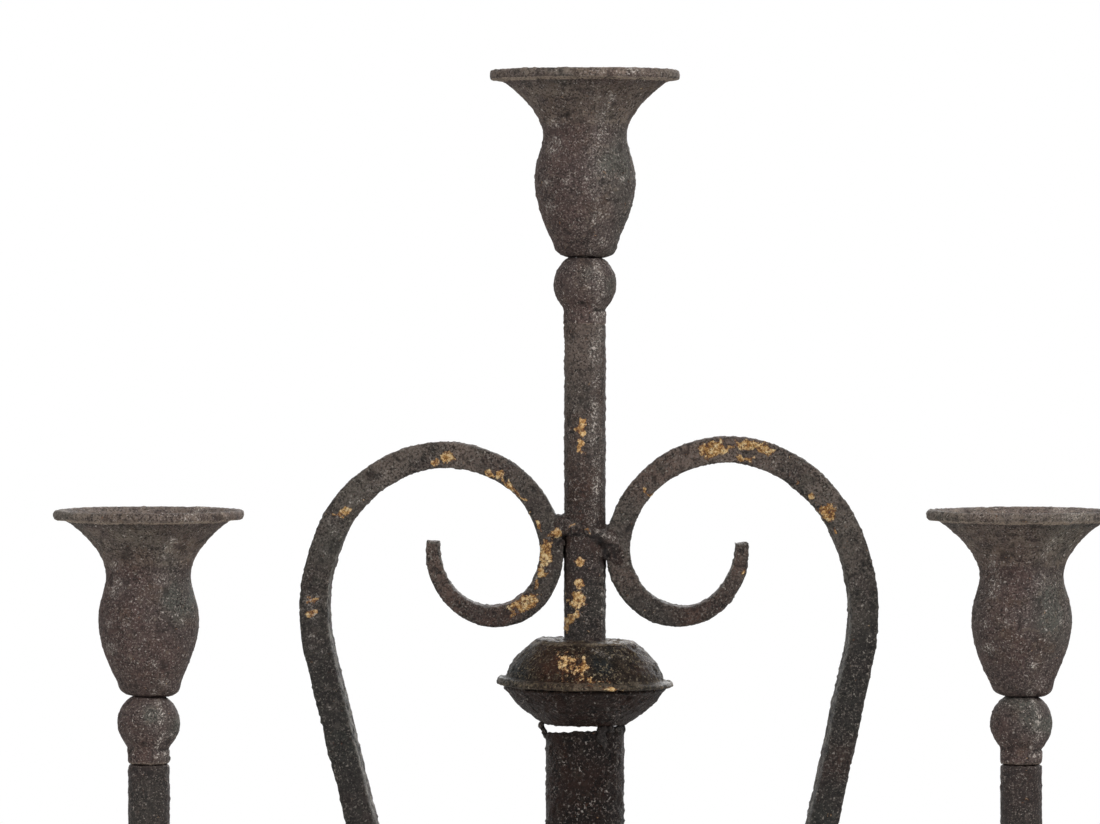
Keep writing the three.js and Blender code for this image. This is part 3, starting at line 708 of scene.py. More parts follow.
ball = {
    "radius": 13.2, "seatRadius": 6.9, "collarRadius": 8.85, "collarLength": 7.4, "spigotLength": 16,
    # the streak and the column of pale spots below it are painted highlights down the lit right side of the ball
    "spigotRadius": 6.15, "highlightStreak": (5.2, 1.9, 0.8, 1400), "rubbedAndHighlight": [],
    "specksAndGlints": [
        (4.3, -80.8, 1.1, 1.8), (5.6, -83.4, 1, 1.4), (6.4, -85.6, 1.4, 1.6), (6, -88.9, 1.1, 2.3),
        (4.2, -91.8, 0.9, 1.7), (7.4, -94, 1.3, 1.7), (5.3, -96.7, 1.2, 1.7), (3.9, -99.5, 1.1, 1.9),
        (4.4, -103, 1.5, 1.6), (7.2, -102.6, 1.6, 1.4)],
    "dentsAndShade": [
        (6.3, -100.9, 2.8, 0.55, 1.1), (2.2, -103.4, 0.5, 2.6, 0.35), (-2, -107, 6, 0.4, 0.2),
        (-1.2, -98.2, 1.1, 0.9, 0.5)],
    "tints": [(1.5, -86.5, 6, 1.1), (12, -91, 5, 0.8), (-9, -90, 7, -0.6), (-2, -98.6, 5, -1), (-4, -104, 5, -1)],
}


def cupOutline():
    c = cup
    belly = c["height"] - c["bulbDrop"]
    waist = c["bulbDrop"] - c["neckDrop"]
    flare = c["neckDrop"] - c["rimHeight"]
    flareRadius = c["neckRadius"] + 0.49 * (c["lipRadius"] - c["neckRadius"])
    dishEdge = c["rimRadius"] - c["rimEdge"]
    dishRadius = c["socketRadius"] + 0.41 * (dishEdge - c["socketRadius"])
    foot, bulb = (c["footRadius"], -c["height"]), (c["bulbRadius"], -c["bulbDrop"])
    neck, lip = (c["neckRadius"], -c["neckDrop"]), (c["lipRadius"], -c["rimHeight"])
    return [
        (c["holeRadius"], -c["height"]),
        *curved(foot, (c["footRadius"] + 5.8, -c["height"] + 0.05 * belly), (bulb[0], bulb[1] - 0.34 * belly), bulb),
        *curved(bulb, (bulb[0], bulb[1] + 0.49 * waist), (neck[0], neck[1] - 0.26 * waist), neck)[1:],
        *curved(neck, (neck[0], neck[1] + 0.38 * flare), (flareRadius, lip[1] - 0.26 * flare), lip)[1:],
        (c["rimRadius"] + 0.4, -c["rimHeight"]), (c["rimRadius"] + 0.8, -0.5 * c["rimHeight"]),
        (c["rimRadius"] + 0.4, 0),
        *curved((dishEdge, 0), (dishRadius, -0.29 * c["neckDrop"]), (c["socketRadius"], -0.64 * c["neckDrop"]),
                (c["socketRadius"], -c["neckDrop"])),
        (c["socketRadius"], -c["socketDepth"]), (c["screwSeat"], -c["socketDepth"]),
        (c["holeRadius"], -c["socketDepth"] - c["countersink"]),
    ]


ballTop = -cup["height"] - gap
ballCentre = ballTop - math.sqrt(ball["radius"] ** 2 - ball["seatRadius"] ** 2)
collarTop = ballCentre - math.sqrt(ball["radius"] ** 2 - ball["collarRadius"] ** 2)
collarEnd = collarTop - ball["collarLength"]


def ballOutline():
    low, high = [math.asin((height - ballCentre) / ball["radius"]) for height in (collarTop, ballTop)]
    spigotEnd = collarEnd - ball["spigotLength"]
    return [(0, spigotEnd), (ball["spigotRadius"], spigotEnd), (ball["spigotRadius"], collarEnd),
            (ball["collarRadius"], collarEnd), *arc(ball["radius"], low, high, 60, ballCentre), (0, ballTop)]


def addLight(side, rimHeight, reach, azimuth, spacing, around, seed):
    shift = reach * math.cos(math.radians(azimuth))
    for part, outline, sides, node, step in (("cup", cupOutline(), around, "candle_cup", 0),
                                             ("ball", ballOutline(), around // 2, "cup_ball", 100)):
        spec = {"cup": cup, "ball": ball}[part]
        marks = {kind: [(x + shift, z + rimHeight, *rest) for x, z, *rest in spec[kind]]
                 for kind in ("specksAndGlints", "dentsAndShade", "tints")}
        marks["rubbedAndHighlight"] = [(low + rimHeight, high + rimHeight, amount) for low, high, amount in spec["rubbedAndHighlight"]]
        shape = turned(outline, spacing, sides, rimHeight, reach, azimuth)
        addPiece(f"{side}_{part}", shape, "sandCastIron", "cast", [f"{side}_{node}"],
                 highlightStreak=spec["highlightStreak"] if side == "middle" else None, seed=seed + step, **marks)


addLight("middle", stand["height"], 0, 0, 0.6, 270, 11)
sideRim = stand["height"] - stand["sideCupDrop"]
addLight("left", sideRim, stand["sideCupReach"], 180, 0.9, 200, 12)
addLight("right", sideRim, stand["sideCupReach"], 0, 0.9, 200, 13)
steel = dullScrewSteel()
for side in ("middle", "left", "right"):
    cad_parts[f"{side}_cup_screw"].material_slots[0].material = steel
print("cups, balls and screws made")


# Pipes, main tube and the knop between them

middlePipe = {
    "gilding": [
        (-0.7, 1451.9, 2.1, 1.9, 0), (-1.5, 1448, 1.5, 2.8, 20), (-2.3, 1442.4, 1.3, 2.6, 0),
        (-2.6, 1393.5, 2, 2, 0), (-1.9, 1384.2, 2, 1.9, 0), (-3.5, 1377.2, 3, 3.3, 0),
        (-4.6, 1371.4, 3.4, 1.1, 12), (-7, 1368.8, 2.2, 1.6, 55), (-7.9, 1366, 0.9, 2.6, 0)],
    # a painted highlight streak down the lit right side of the pipe
    "highlightStreak": (4.4, 1.9, 1.3, 1402),
    # pale spots: dust, and painted glints along the pipe's lit right edge
    "specksAndGlints": [
        (6.6, 1447, 0.9, 1), (7, 1440, 1, 1.1), (6.6, 1432, 0.9, 1), (7.4, 1373, 1, 1.8), (7.7, 1380, 1.2, 2),
        (7.5, 1386, 1.1, 1.8), (7.2, 1390, 0.9, 1.4), (5.6, 1478, 1.4, 1.4), (3, 1410.6, 1.6, 1),
        (5, 1413.4, 1.2, 1)],
    "dentsAndShade": [
        (2.6, 1391.2, 5.5, 0.8, -0.4), (4.2, 1387.6, 4.5, 0.7, -0.3), (3.2, 1384, 5, 0.6, 0.3),
        (3.4, 1380.8, 5.5, 0.8, -0.4), (2.4, 1377.4, 4, 0.7, 0.3), (4, 1373.6, 5, 0.8, -0.4),
        (2.2, 1370, 5, 0.7, -0.3), (3.6, 1366.2, 5, 0.6, 0.3), (1.4, 1363.6, 6, 0.7, -0.35)],
    "tints": [(-8, 1380, 9, -1), (4, 1378, 8, 0.9), (0, 1425, 12, -0.6)],
}
knop = {
    "flange": 37, "wall": 1.6, "hole": 9.85,
    "upper": {"height": 18.3, "tilt": 1.8, "dome": 33.3, "shoulder": (32, 0.5), "crown": 20.4,
              "rolled": [
                  (-3.6, 0.2), (-2.2, -0.5), (-0.9, -0.6), (0.1, -0.2), (0.6, 0.6), (0.1, 1.3), (-1, 1.7),
                  (-2.6, 1.6), (-4, 1.9)]},
    "lower": {"height": 16, "tilt": 0.4, "dome": 32.4, "shoulder": (31.6, 0.45), "crown": 17.4,
              "rolled": [(-3.5, -0.2), (-2.8, 0.4), (-2.8, 1.1), (-3.6, 1.7), (-4.7, 2.6)]},
    "lean": 0.3,  # the lower dome stands this far to the right of its rim
    "gilding": [
        (-9, 1353.4, 3.8, 3.4, 0, 0.55), (-6, 1349.8, 6, 5, -30, 0.5), (-1, 1350.8, 1.8, 3, 0, 0.8),
        (1.3, 1345.7, 1, 0.9, 0), (12.4, 1341.7, 5, 0.5, 0, 0.9), (4, 1344.4, 11, 0.7, 0, 0.5),
        (-3, 1347, 6, 2, 0, 0.5)],
    "specksAndGlints": [
        (26.4, 1351, 0.9, 2), (4.4, 1336, 0.5, 1.6), (9, 1333, 0.5, 1.4), (3.4, 1357.4, 0.8, 0.8),
        (5, 1356.9, 0.8, 0.9), (6.8, 1356, 0.8, 0.9), (8.6, 1355.2, 0.8, 0.8), (10.4, 1354.2, 0.8, 0.7),
        (13.4, 1356.2, 0.8, 0.7), (15, 1355, 0.8, 0.7), (16.4, 1353.6, 0.8, 0.6)],
    "tints": [(9, 1352, 8, 1), (-14, 1352, 11, -0.7), (24, 1350, 8, -0.3)],
    "lowerTints": [(-14, 1333, 16, -0.9), (16, 1333, 16, -0.7)],
}
crownHeight = stand["height"] + collarEnd - pipe["middle"]
upperFlange = crownHeight - knop["upper"]["height"]
tiltSpread = math.radians(knop["upper"]["tilt"] - knop["lower"]["tilt"]) * knop["flange"]
lowerFlange = upperFlange - gap - tiltSpread
knopBottom = lowerFlange - knop["lower"]["height"]
tackHeight = 5
shaftTop = knopBottom - tackHeight


def tube(outer, bore, bottom, top, spacing, around, reach=0, azimuth=0, plain=(0, 0)):
    outline = [(bore, bottom), (outer, bottom), (outer, top), (bore, top)]
    return turned(outline, spacing, around, 0, reach, azimuth, plain=plain)


def shell(spec, hole):
    radius, rise = spec["shoulder"]
    wall = knop["wall"]

    def dome(inset):
        foot = np.array([spec["dome"] - inset, wall - inset])
        handle = np.array([radius - inset, rise * spec["height"] - inset / 2])
        top = np.array([spec["crown"] - inset / 2, spec["height"] - inset])
        t = np.linspace(0.16, 1, 24)[:, None]
        return ((1 - t) ** 2 * foot + 2 * t * (1 - t) * handle + t ** 2 * top).tolist()

    rolled = [(knop["flange"] + out, up) for out, up in spec["rolled"]]
    skin = [*rolled, *dome(0), (hole, spec["height"])]
    inside = [(hole, spec["height"] - wall), *dome(wall)[::-1], (spec["dome"] - wall, 0)]
    return turned([*skin, *inside] if hole else [*inside, *skin], 0.62, 250)


def tilted(points, tilt, height, flip):
    turn = math.radians(tilt)
    x = points[:, 0] * math.cos(turn) + points[:, 2] * math.sin(turn)
    z = points[:, 2] * math.cos(turn) - points[:, 0] * math.sin(turn)
    side = -1 if flip else 1
    return np.column_stack([x, side * points[:, 1], side * z + height])


pipeTop = stand["height"] + collarEnd - gap
shape = tube(pipe["outer"], pipe["bore"], knopBottom + knop["wall"] + 2 * gap, pipeTop + 2 * gap, 0.5, 116)
addPiece("middle_tube", shape, "paintedGasPipe", "drawn", ["middle_pipe"], seed=21, **middlePipe)

points, faces = shell(knop["upper"], knop["hole"])
away = np.hypot(points[:, 0], points[:, 1])
under = np.clip(1 - points[:, 2] / 1.4, 0, 1) * (away > knop["upper"]["dome"] - 2)
under *= np.where(away < knop["flange"] - 2.6, 1, 0.6)
points = tilted(points, knop["upper"]["tilt"], upperFlange, False)
seam = lowerFlange + gap / 2 - points[:, 0] * math.tan(math.radians(knop["lower"]["tilt"]))
points[:, 2] += under * (seam - points[:, 2])  # the upper rim is hammered down onto the lower one
# painted highlight lines along the crown's edge and on the bead, over paint rubbed pale
rubbedAndHighlight = [(crownHeight - 1.4, crownHeight - 0.1, 0.7), (upperFlange - 1.6, upperFlange + 2.6, 0.45)]
addPiece("knop_top", (points, faces), "pressedKnopShell", "shell", ["knop_upper_shell"], knop["gilding"],
         specksAndGlints=knop["specksAndGlints"], rubbedAndHighlight=rubbedAndHighlight, tints=knop["tints"], seed=22)

points, faces = shell(knop["lower"], 0)
points = tilted(points, -knop["lower"]["tilt"], lowerFlange, True)
points[:, 0] += knop["lean"] * np.clip((knop["flange"] - 2 - np.hypot(points[:, 0], points[:, 1])) / 2, 0, 1)
addPiece("knop_base", (points, faces), "thickPaintedTube", "shell", ["knop_lower_shell"],
         specksAndGlints=knop["specksAndGlints"], tints=knop["lowerTints"], seed=23)
print("pipe and knop made")


# Scrolls: each bent by hand, so the two differ. Bends are (radius, turn) from the thin tip of the curl.

scroll = {
    "overKnop": 5.7, "tailHeight": 900, "tail": 40, "turns": [50, 50, 50, 50, 45, 45, 45], "weldHalf": 12,
    "taper": [(0, 5.3), (60, 9.8), (125, 10), (195, bar)],
    "twist": [(0, 0), (195, 0), (240, 6), (300, 8), (380, 7), (470, 0)],  # degrees that turn the inner face forward
}
# each scroll's inner-face mark paints a pale highlight strip on the face turned to the other scroll
scrolls = {
    "left": {
        "azimuth": 180, "heading": -87.2, "tip": 2, "lean": 13.9, "bare": 1,
        "radii": [30.1, 23.1, 23.5, 31.3, 43.3, 47.8, 53.5, 79.8],
        "gilding": [
            (-58, 1437, 2.8, 2.3, 30), (-62.8, 1434.9, 1.3, 1.6, 0), (-36.2, 1429.9, 1.4, 1.6, 0),
            (-40.4, 1430.6, 2.2, 0.8, -20), (-31, 1424.3, 5, 1.1, -42), (-25.3, 1419, 1.4, 0.9, -50),
            (-23.2, 1413.4, 0.6, 1.5, 0), (-19, 1408.5, 1.5, 2, 0), (-12.4, 1405.8, 2.6, 1.6, 25),
            (-5.6, 1408.4, 1.8, 0.6, 5), (-16.4, 1397.6, 2.5, 6.2, 0), (-18.2, 1389.2, 1.4, 2.6, 0),
            (-20.3, 1384.6, 1.2, 1.8, -20), (-25.4, 1375.6, 6.4, 3, 25), (-101.5, 1414.2, 2.3, 2.1, 20),
            (-105.3, 1413, 1, 0.8, 0), (-115, 1376.8, 2.5, 1.5, 20), (-114.8, 1371.6, 2.2, 1.9, 0)],
        "tints": [
            (-100, 1418, 26, 1), (-70, 1438, 12, 0.2), (-52, 1440, 14, -0.4), (-114, 1350, 40, 0.1),
            (-64.5, 1396, 10, -1.1), (-44, 1376, 16, -1.6)],
        "specksAndGlints": [
            (-111.6, 1377.4, 1.2, 1), (-114, 1367, 0.9, 1), (-104, 1404, 1, 0.9), (-116, 1373.6, 1.1, 1),
            (-107, 1409, 1.6, 0.8), (-90, 1423.4, 2.2, 0.7), (-8.6, 1393.6, 0.7, 1.5), (-9.2, 1396.4, 0.7, 1.5),
            (-115.4, 1377, 1.9, 1.6), (-114.6, 1371.2, 1.9, 1.3), (-112.4, 1378.2, 0.9, 1.8),
            (-114.8, 1362, 1.4, 1.3), (-115, 1357, 1, 1.2), (-111, 1354.8, 1.2, 1.4), (-113.5, 1350.4, 1, 1.1),
            (-107.4, 1331.6, 0.8, 1.2), (-109.4, 1327.8, 0.8, 1.4), (-110.5, 1334.8, 0.8, 1.2),
            (-85, 1429.7, 1.8, 0.8), (-85.8, 1424.4, 1.4, 1), (-105.2, 1405.4, 1.6, 1.1),
            (-109.5, 1396.8, 1.8, 0.9), (-76.3, 1432, 1.2, 0.7), (-62.2, 1435.4, 1.1, 2), (-103.8, 1413.2, 1, 1.6),
            (-98.6, 1418.8, 1, 1.5), (-95.2, 1419.2, 1.3, 1.5)]},
    "right": {
        "azimuth": 0, "heading": -86.7, "tip": 0.3, "lean": 12.3, "bare": -1,
        "radii": [30.7, 23.3, 25.9, 31.1, 45.4, 47.4, 57.3, 83],
        "gilding": [
            (53.8, 1440.8, 6, 3.2, 10), (67.8, 1442.6, 4.6, 2, -5), (75.6, 1440.8, 3.9, 1.8, -15),
            (67.8, 1436.6, 3.6, 0.8, 0), (101.7, 1414.3, 3.4, 3.4, -40), (95, 1421.3, 2.4, 1.1, -40),
            (104.8, 1405.7, 0.8, 0.9, 0), (66.1, 1389.4, 1, 0.9, 0), (25, 1422.9, 1.4, 1, 0),
            (1.4, 1405.8, 2, 0.6, 0, 0.8), (27.6, 1421.4, 0.8, 1.2, 0), (60.8, 1441.6, 1.6, 1, 0),
            (89.6, 1426.6, 1.6, 1, -40, 0.5)],
        "tints": [
            (32, 1430, 22, -1), (60, 1440, 16, -0.6), (90, 1428, 18, -0.3), (118, 1350, 40, 0.1),
            (63, 1396, 10, -1)],
        "specksAndGlints": [(80, 1433.5, 1.4, 0.8), (99, 1412, 1.2, 0.7), (119.9, 1362.6, 0.8, 1.9), (113, 1384, 1.4, 0.8)]},
}


def curlBack(line, taper):
    places, _, travelled = line
    return (places[:, 0] - thickness(taper, travelled) / 2).argmin()


def scrollLine(side):
    spec = scrolls[side]
    lastTurn = 450 + spec["lean"] + spec["heading"] - sum(scroll["turns"])
    curl = [(radius, -turn) for radius, turn in zip(spec["radii"], [*scroll["turns"], lastTurn])]
    draft = bentLine((0, 0), spec["heading"], curl)
    places, _, travelled = draft
    back = curlBack(draft, scroll["taper"])
    lowest = np.where(travelled < scroll["taper"][-1][0], places[:, 1], 1e9).argmin()
    thick = thickness(scroll["taper"], travelled)
    tip = (pipe["outer"] + gap - places[back, 0] + thick[back] / 2,
           crownHeight + scroll["overKnop"] - places[lowest, 1] + thick[lowest] / 2)
    inward = places[-1, 0] + tip[0] - (shaft["outer"] + gap + bar / 2)
    down = places[-1, 1] + tip[1] - scroll["tailHeight"]
    sine, cosine = math.sin(math.radians(spec["lean"])), math.cos(math.radians(spec["lean"]))
    radius = (down * sine - inward * cosine) / (1 - cosine)
    run = (inward - radius * (1 - cosine)) / sine
    start = (tip[0] - spec["tip"] * math.cos(math.radians(spec["heading"])),
             tip[1] - spec["tip"] * math.sin(math.radians(spec["heading"])))
    bends = [(spec["tip"],), *curl, (run,), (radius, spec["lean"]), (scroll["tail"],)]
    return bentLine(start, spec["heading"], bends), travelled[back] + spec["tip"]


# The length of a bar that lies beside its weld, a little thinner, so that the weld runs up to it in a fillet.
def besideWeld(line, middle, half, taper, depth, azimuth):
    near = np.abs(line[2] - middle) < half
    thin = [(station, thick - 2 * gap) for station, thick in taper]
    return swept([part[near] for part in line], thin, depth - 2 * gap, azimuth, 1)


stubs = {}
for seed, (side, spec) in enumerate(scrolls.items()):
    line, middle = scrollLine(side)
    shape = swept(line, scroll["taper"], bar, spec["azimuth"], 0.72, twist=scroll["twist"])
    stubs[side] = besideWeld(line, middle, scroll["weldHalf"], scroll["taper"], bar, spec["azimuth"])
    marks = {kind: spec[kind] for kind in ("gilding", "specksAndGlints", "tints", "bare")}
    addPiece(f"{side}_scroll_bar", shape, "forgedBarIron", "forged", [f"{side}_scroll"], seed=31 + 3 * seed, **marks)
    print(side, "scroll made,", len(shape[1]), "faces")


# Welds of the scrolls to the pipe, as lumps of (centre, half sizes): a web over the joint and drops on its face

scrollWelds = {
    "left": [
        ((-10.5, -0.5, 1408.2), (4.4, 5.4, 5.2)), ((-12, -2.5, 1403.5), (2.6, 3.8, 4.5)),
        ((-9.6, -4.4, 1407.6), (4.4, 2.6, 5)), ((-5.8, -6.9, 1407.4), (4, 2.2, 4)),
        ((-2.2, -8.2, 1406.4), (4, 1.5, 3.2)), ((-9.6, 3.6, 1402), (3.4, 3.6, 5.5)),
        ((-10.4, -5.4, 1401.4), (2.4, 1.6, 2.4)), ((-7.5, 5.6, 1398), (3.2, 2.4, 4.2)),
        ((-12.6, -6, 1405), (2.2, 1.6, 1.4)), ((-9.6, -6.8, 1406.6), (2.2, 1.6, 1.4)),
        ((-6.4, -8, 1408.2), (2.2, 1.6, 1.4)), ((-3, -9.2, 1408.6), (2.2, 1.6, 1.4))],
    "right": [
        ((9.4, 0, 1402), (3.6, 5.6, 7)), ((10.6, -4.4, 1402), (4.2, 3.4, 6.2)), ((7, -6.5, 1404), (4, 2.4, 3.4)),
        ((11.6, -5.6, 1398.4), (4, 2, 5)), ((14, -5.8, 1395.6), (3, 1.6, 4.2)),
        ((2.6, -8.2, 1405.4), (3.8, 1.5, 2.6)), ((9.2, -5.2, 1397.5), (2.4, 2.2, 4)),
        ((9.6, 4.8, 1400.5), (3.4, 3, 5.5)), ((12.4, 5.4, 1397), (2.8, 1.7, 4)),
        ((1.2, -9.4, 1406.6), (2.2, 1.6, 1.4)), ((4.4, -8.9, 1406.4), (2.2, 1.7, 1.5)),
        ((7.4, -7.8, 1405), (2.2, 1.7, 1.6)), ((10.2, -7.4, 1402.6), (2, 1.6, 1.8)),
        ((12.6, -7.2, 1399.4), (1.8, 1.4, 2))],
}
weldMarks = {  # grooves as (x, height, half width, half height, depth), and painted highlight spots on the ridges
    "left": {
        "grooves": [
            (-9, 1403.2, 3.4, 0.8, 0.7), (-8.3, 1399.6, 1.1, 3, 0.9), (-3.6, 1404.6, 3, 0.9, 0.5),
            (-11.8, 1401.8, 1.6, 1.2, 0.6)],
        "rubbedAndHighlight": [(-5.6, 1408.6, 1.2, 1.2), (-11, 1407.4, 1, 1), (-12.6, 1402.6, 0.8, 1.8)]},
    "right": {
        "grooves": [
            (6.4, 1401.6, 1, 2.4, 0.8), (8.2, 1398, 1, 2.6, 0.9), (9.6, 1394.4, 0.9, 2.6, 0.8),
            (2.6, 1403.6, 3, 0.9, 0.5), (11.6, 1400.4, 2.2, 0.7, 0.5), (12.4, 1396.4, 0.7, 2.2, 0.6)],
        "rubbedAndHighlight": [
            (1.4, 1406.2, 1.2, 1.2), (5, 1406.4, 1.2, 1.7), (7.6, 1405, 1.2, 1.7), (10.4, 1404, 1.4, 1.4),
            (13, 1402.4, 1.6, 1.2), (5.6, 1397.6, 1.2, 1.2)]},
}
for seed, (side, lumps) in enumerate(scrollWelds.items()):
    middle, radius = lumps[0][0][2], pipe["outer"] - gap
    low, high = middle - 10, middle + 11  # the stretch of pipe that the weld runs up to
    core = [(0, low), (radius, low), (radius, high), (0, high)]
    addPiece(f"{side}_scroll_joint", fused(lumps, 0.5, 9, [turned(core, 1, 60), stubs[side]]), "coolWeldMetal",
             "molten", [f"{side}_scroll_weld"], gilding=scrolls[side]["gilding"], dentsAndShade=weldMarks[side]["grooves"],
             specksAndGlints=scrolls[side]["specksAndGlints"] + weldMarks[side]["rubbedAndHighlight"], seed=41 + seed)
print("scroll welds made")


# Main tube with the drops of weld that hold the knop over it, a gap of daylight between them

mainTube = {"bottom": 165.48, "plain": (180, 1270), "sawn": 12, "sawHeight": 1.7}
# painted shade: a shallow dent whose dark pit tone darkens the fronts of the drops under the knop
tackShade = (8, 1320, 14, 10, 0.25)
tacks = {
    "left": [
        ((-18.4, -1.5, 1324), (1.3, 1.6, 1.5)), ((-17.5, -1.2, 1322), (1.2, 1.6, 1.8)),
        ((-16.6, -0.5, 1320.2), (1.3, 2, 2.2))],
    "front": [
        ((7.2, -15, 1323.4), (2.5, 2.2, 2.6)), ((7, -16.2, 1320), (2.3, 2, 3)),
        ((8.4, -15.8, 1317.4), (1.3, 1.8, 2)), ((10.4, -12.8, 1323.4), (2.6, 2.4, 2.2))],
    "right": [
        ((15, -3, 1322.4), (2, 4, 2.6)), ((14.2, -6.4, 1322.2), (2, 3.2, 2.4)),
        ((15, 0.5, 1323.2), (1.8, 2.6, 1.8)), ((12.6, -8.6, 1323), (2.2, 2.4, 1.4))],
    "back": [((8, 13, 1321.6), (2.6, 2.2, 3.2)), ((8.6, 14, 1319.6), (2.4, 1.8, 2.2))],
}
points, faces = tube(shaft["outer"], shaft["bore"], mainTube["bottom"], shaftTop, 1.1, 84, plain=mainTube["plain"])
cut = np.clip((points[:, 2] - shaftTop) / mainTube["sawn"] + 1, 0, 1)
askew = mainTube["sawHeight"] - points[:, 1] / 12 + 0.03 * points[:, 0]  # sawn higher at the front
points[:, 2] += cut * (askew + 0.8 * noise(points, 3.2, 55))
addPiece("main_tube", (points, faces), "thickPaintedTube", "blistered", ["main_shaft"], seed=51)
for seed, (side, lumps) in enumerate(tacks.items()):
    addPiece(f"knop_drop_{side}", fused(lumps, 0.4, 2), "coolWeldMetal", "molten", [f"knop_tack_{side}"],
             dentsAndShade=[tackShade], seed=52 + seed)
print("main tube and its welds made")


# Waist strap, bent tight round the tube and the tails of both scrolls

strap = {"height": 26, "thickness": 4, "middle": 880}


def addStrap():
    lie = gap + strap["thickness"] / 2
    discs = [((0, 0), shaft["outer"] + lie)]
    discs += [((x * (shaft["outer"] + gap + bar), y * bar / 2), lie) for x in (-1, 1) for y in (-1, 1)]
    path = []
    for angle in np.linspace(0, 2 * math.pi, 120, endpoint=False):
        way = np.array([math.cos(angle), math.sin(angle)])
        centre, radius = max(discs, key=lambda disc: np.dot(disc[0], way) + disc[1])
        path.append(np.array(centre) + radius * way)
    path = evenly(path, 1, True)
    along = np.roll(path, -1, 0) - np.roll(path, 1, 0)
    along /= np.hypot(*along.T)[:, None]
    out = np.column_stack([along[:, 1], -along[:, 0]])
    half, high = strap["thickness"] / 2, strap["height"] / 2
    section = evenly([(-half, -high), (half, -high), (half, high), (-half, high)], 0.9, True)
    flat = path[:, None] + out[:, None] * section[None, :, :1]
    heights = np.repeat(section[None, :, 1:], len(path), 0) + strap["middle"]
    shape = skinned(np.concatenate([flat, heights], -1), True)
    addPiece("waist_strap", shape, "forgedBarIron", "forged", ["waist_band"], seed=61)


addStrap()


# Candle arms, from the main tube up to the side pipes

arm = {"rootHeight": 836, "rootRadius": 100}


def armLine(pipeBottom):
    across = stand["sideCupReach"] - shaft["bore"] - arm["rootRadius"]
    rise = pipeBottom - gap - arm["rootHeight"] - arm["rootRadius"]
    lift = math.degrees(2 * math.atan(rise / across)) - 90
    upper = arm["rootRadius"] + across / (1 - math.sin(math.radians(lift)))
    return bentLine((shaft["bore"], arm["rootHeight"]), 0, [(arm["rootRadius"], lift), (upper, 90 - lift)])


# A rough bead of weld round a bar where it meets the tube, as a core with drops along both sides.
def ringWeld(name, reach, height, azimuth, seed, stands, size, count=9):
    deep, wide, high = size
    chance = np.random.default_rng(seed)
    lumps = [((reach, 0, height), (0.45 * deep, 0.8 * wide, 0.8 * high))]
    for side in (-1, 1):
        for k in range(count):
            share = (k + 0.5) / count * 2 - 1
            lumps.append(((reach + chance.uniform(-1, 1), side * (0.72 * wide + chance.uniform(-0.5, 0.5)),
                           height + share * 0.85 * high),
                          (0.42 * deep + chance.uniform(0, 0.6), 0.3 * wide + 0.6, 0.16 * high + 1)))
    points, faces = fused(lumps, 0.8, 3)
    addPiece(name, (aimed(*points.T, azimuth), faces), "coolWeldMetal", "molten", stands, seed=seed)


sidePipeTop = sideRim + collarEnd - gap
sidePipeBottom = sidePipeTop - pipe["side"]
for seed, (side, azimuth) in enumerate({"left": 180, "right": 0}.items()):
    shape = swept(armLine(sidePipeBottom), [(0, bar)], bar, azimuth, 1)
    addPiece(f"{side}_arm_bar", shape, "forgedBarIron", "forged", [f"{side}_arm"], seed=71 + 3 * seed)
    ringWeld(f"{side}_arm_joint", shaft["outer"] + 1.5, arm["rootHeight"], azimuth, 81 + seed, [f"{side}_arm_weld"],
             (5, 9, 9), 6)
    shape = tube(pipe["outer"], pipe["bore"], sidePipeBottom, sidePipeTop, 0.8, 80, stand["sideCupReach"], azimuth)
    addPiece(f"{side}_tube", shape, "paintedGasPipe", "drawn", [f"{side}_arm_pipe"], seed=91 + seed)
print("arms made")


# Legs, their welds and pads, and the finial that closes the main tube

leg = {
    "heading": -86, "shin": 165, "curl": [24, 18.5, 19, 25, 34, 44, 70], "curlTurns": [50, 50, 50, 50, 45, 45, 58],
    "foot": [100, 40, 28, 21, 16], "footTurns": [59, 15, 60, 60, 60],
    "taper": [(0, 6), (50, 11.5), (95, 12), (150, legBar)],
}
pad = {"radius": 17, "height": 6, "ease": 1.4}
finial = {"radius": 21, "lip": 1.5, "collar": 5, "spigot": 20}


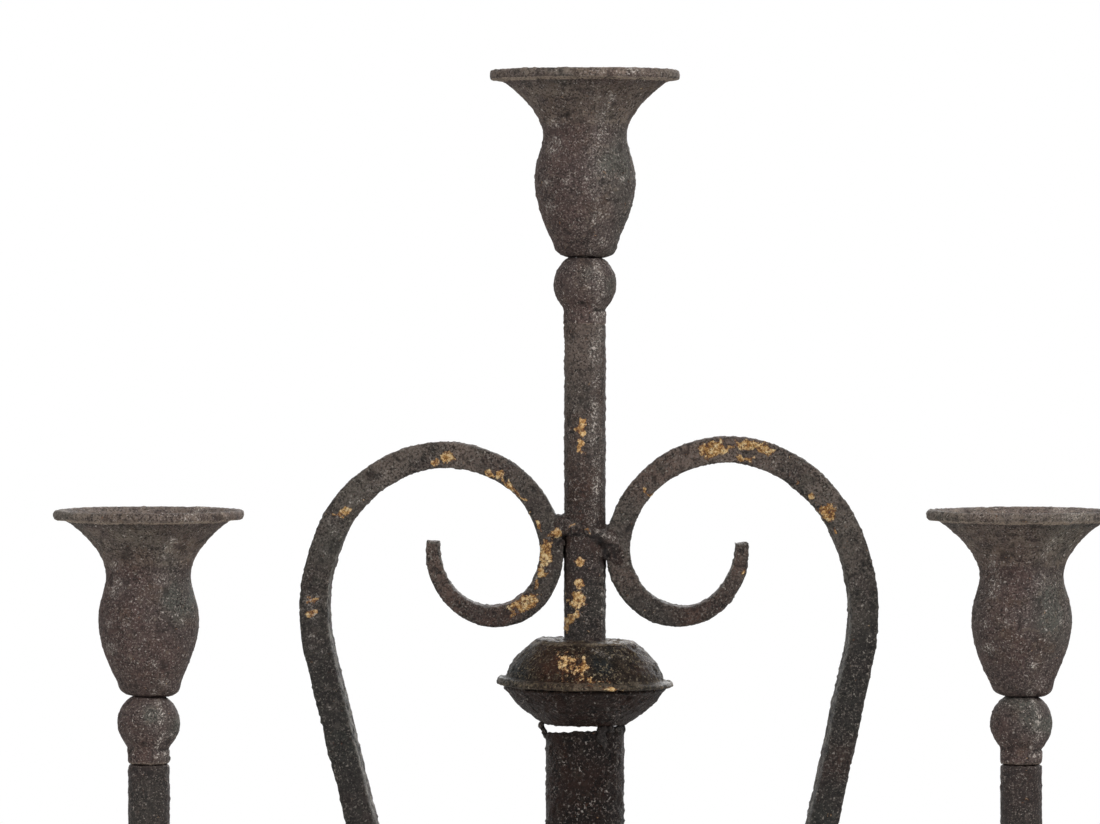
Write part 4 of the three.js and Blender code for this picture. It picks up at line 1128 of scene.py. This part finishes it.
def legLine():
    bends = [(radius, -turn) for radius, turn in zip(leg["curl"], leg["curlTurns"])]
    bends += [(leg["shin"],)] + list(zip(leg["foot"], leg["footTurns"]))
    draft = bentLine((0, 0), leg["heading"], bends)
    places, _, travelled = draft
    back = curlBack(draft, leg["taper"])
    lowest = places[:, 1].argmin()
    tip = (shaft["outer"] + gap - places[back, 0] + thickness(leg["taper"], travelled[back]) / 2,
           pad["height"] + gap + legBar / 2 - places[lowest, 1])
    return bentLine(tip, leg["heading"], bends), tip[0] + places[lowest, 0], tip[1] + places[back, 1]


line, padReach, legWeldHeight = legLine()
padOutline = [(0, 0), (pad["radius"] - 1, 0), (pad["radius"], 1), (pad["radius"], pad["height"] - pad["ease"]),
              (pad["radius"] - pad["ease"], pad["height"]), (0, pad["height"])]
for k in range(4):
    addPiece(f"leg_bar_{k + 1}", swept(line, leg["taper"], legBar, 90 * k, 1), "forgedBarIron", "forged",
             [f"leg_{k + 1}"], seed=101 + 3 * k)
    addPiece(f"foot_disc_{k + 1}", turned(padOutline, 0.8, 110, 0, padReach, 90 * k, 1), "thickPaintedTube", "cast",
             [f"foot_pad_{k + 1}"], seed=121 + k)
    ringWeld(f"leg_joint_{k + 1}", shaft["outer"] + 0.8, legWeldHeight, 90 * k, 131 + k, [f"leg_weld_{k + 1}"],
             (5, 8.4, 15))


def finialOutline(seat):
    collar, spigot, top = shaft["outer"] + finial["lip"], shaft["bore"] - gap, seat + finial["spigot"]
    brow = math.asin((seat - finial["collar"]) / finial["radius"])
    dome = arc(finial["radius"], -math.pi / 2, brow, 50)[1:]
    return [(0, -finial["radius"]), *dome, (collar, seat), (spigot, seat), (spigot, top), (0, top)]


seat = math.sqrt(finial["radius"] ** 2 - (shaft["outer"] + finial["lip"]) ** 2) + finial["collar"]
addPiece("drop_finial", turned(finialOutline(seat), 0.9, 130, mainTube["bottom"] - seat - gap), "thickPaintedTube",
         "cast", ["shaft_finial"], seed=141)
print("legs, pads and finial made")
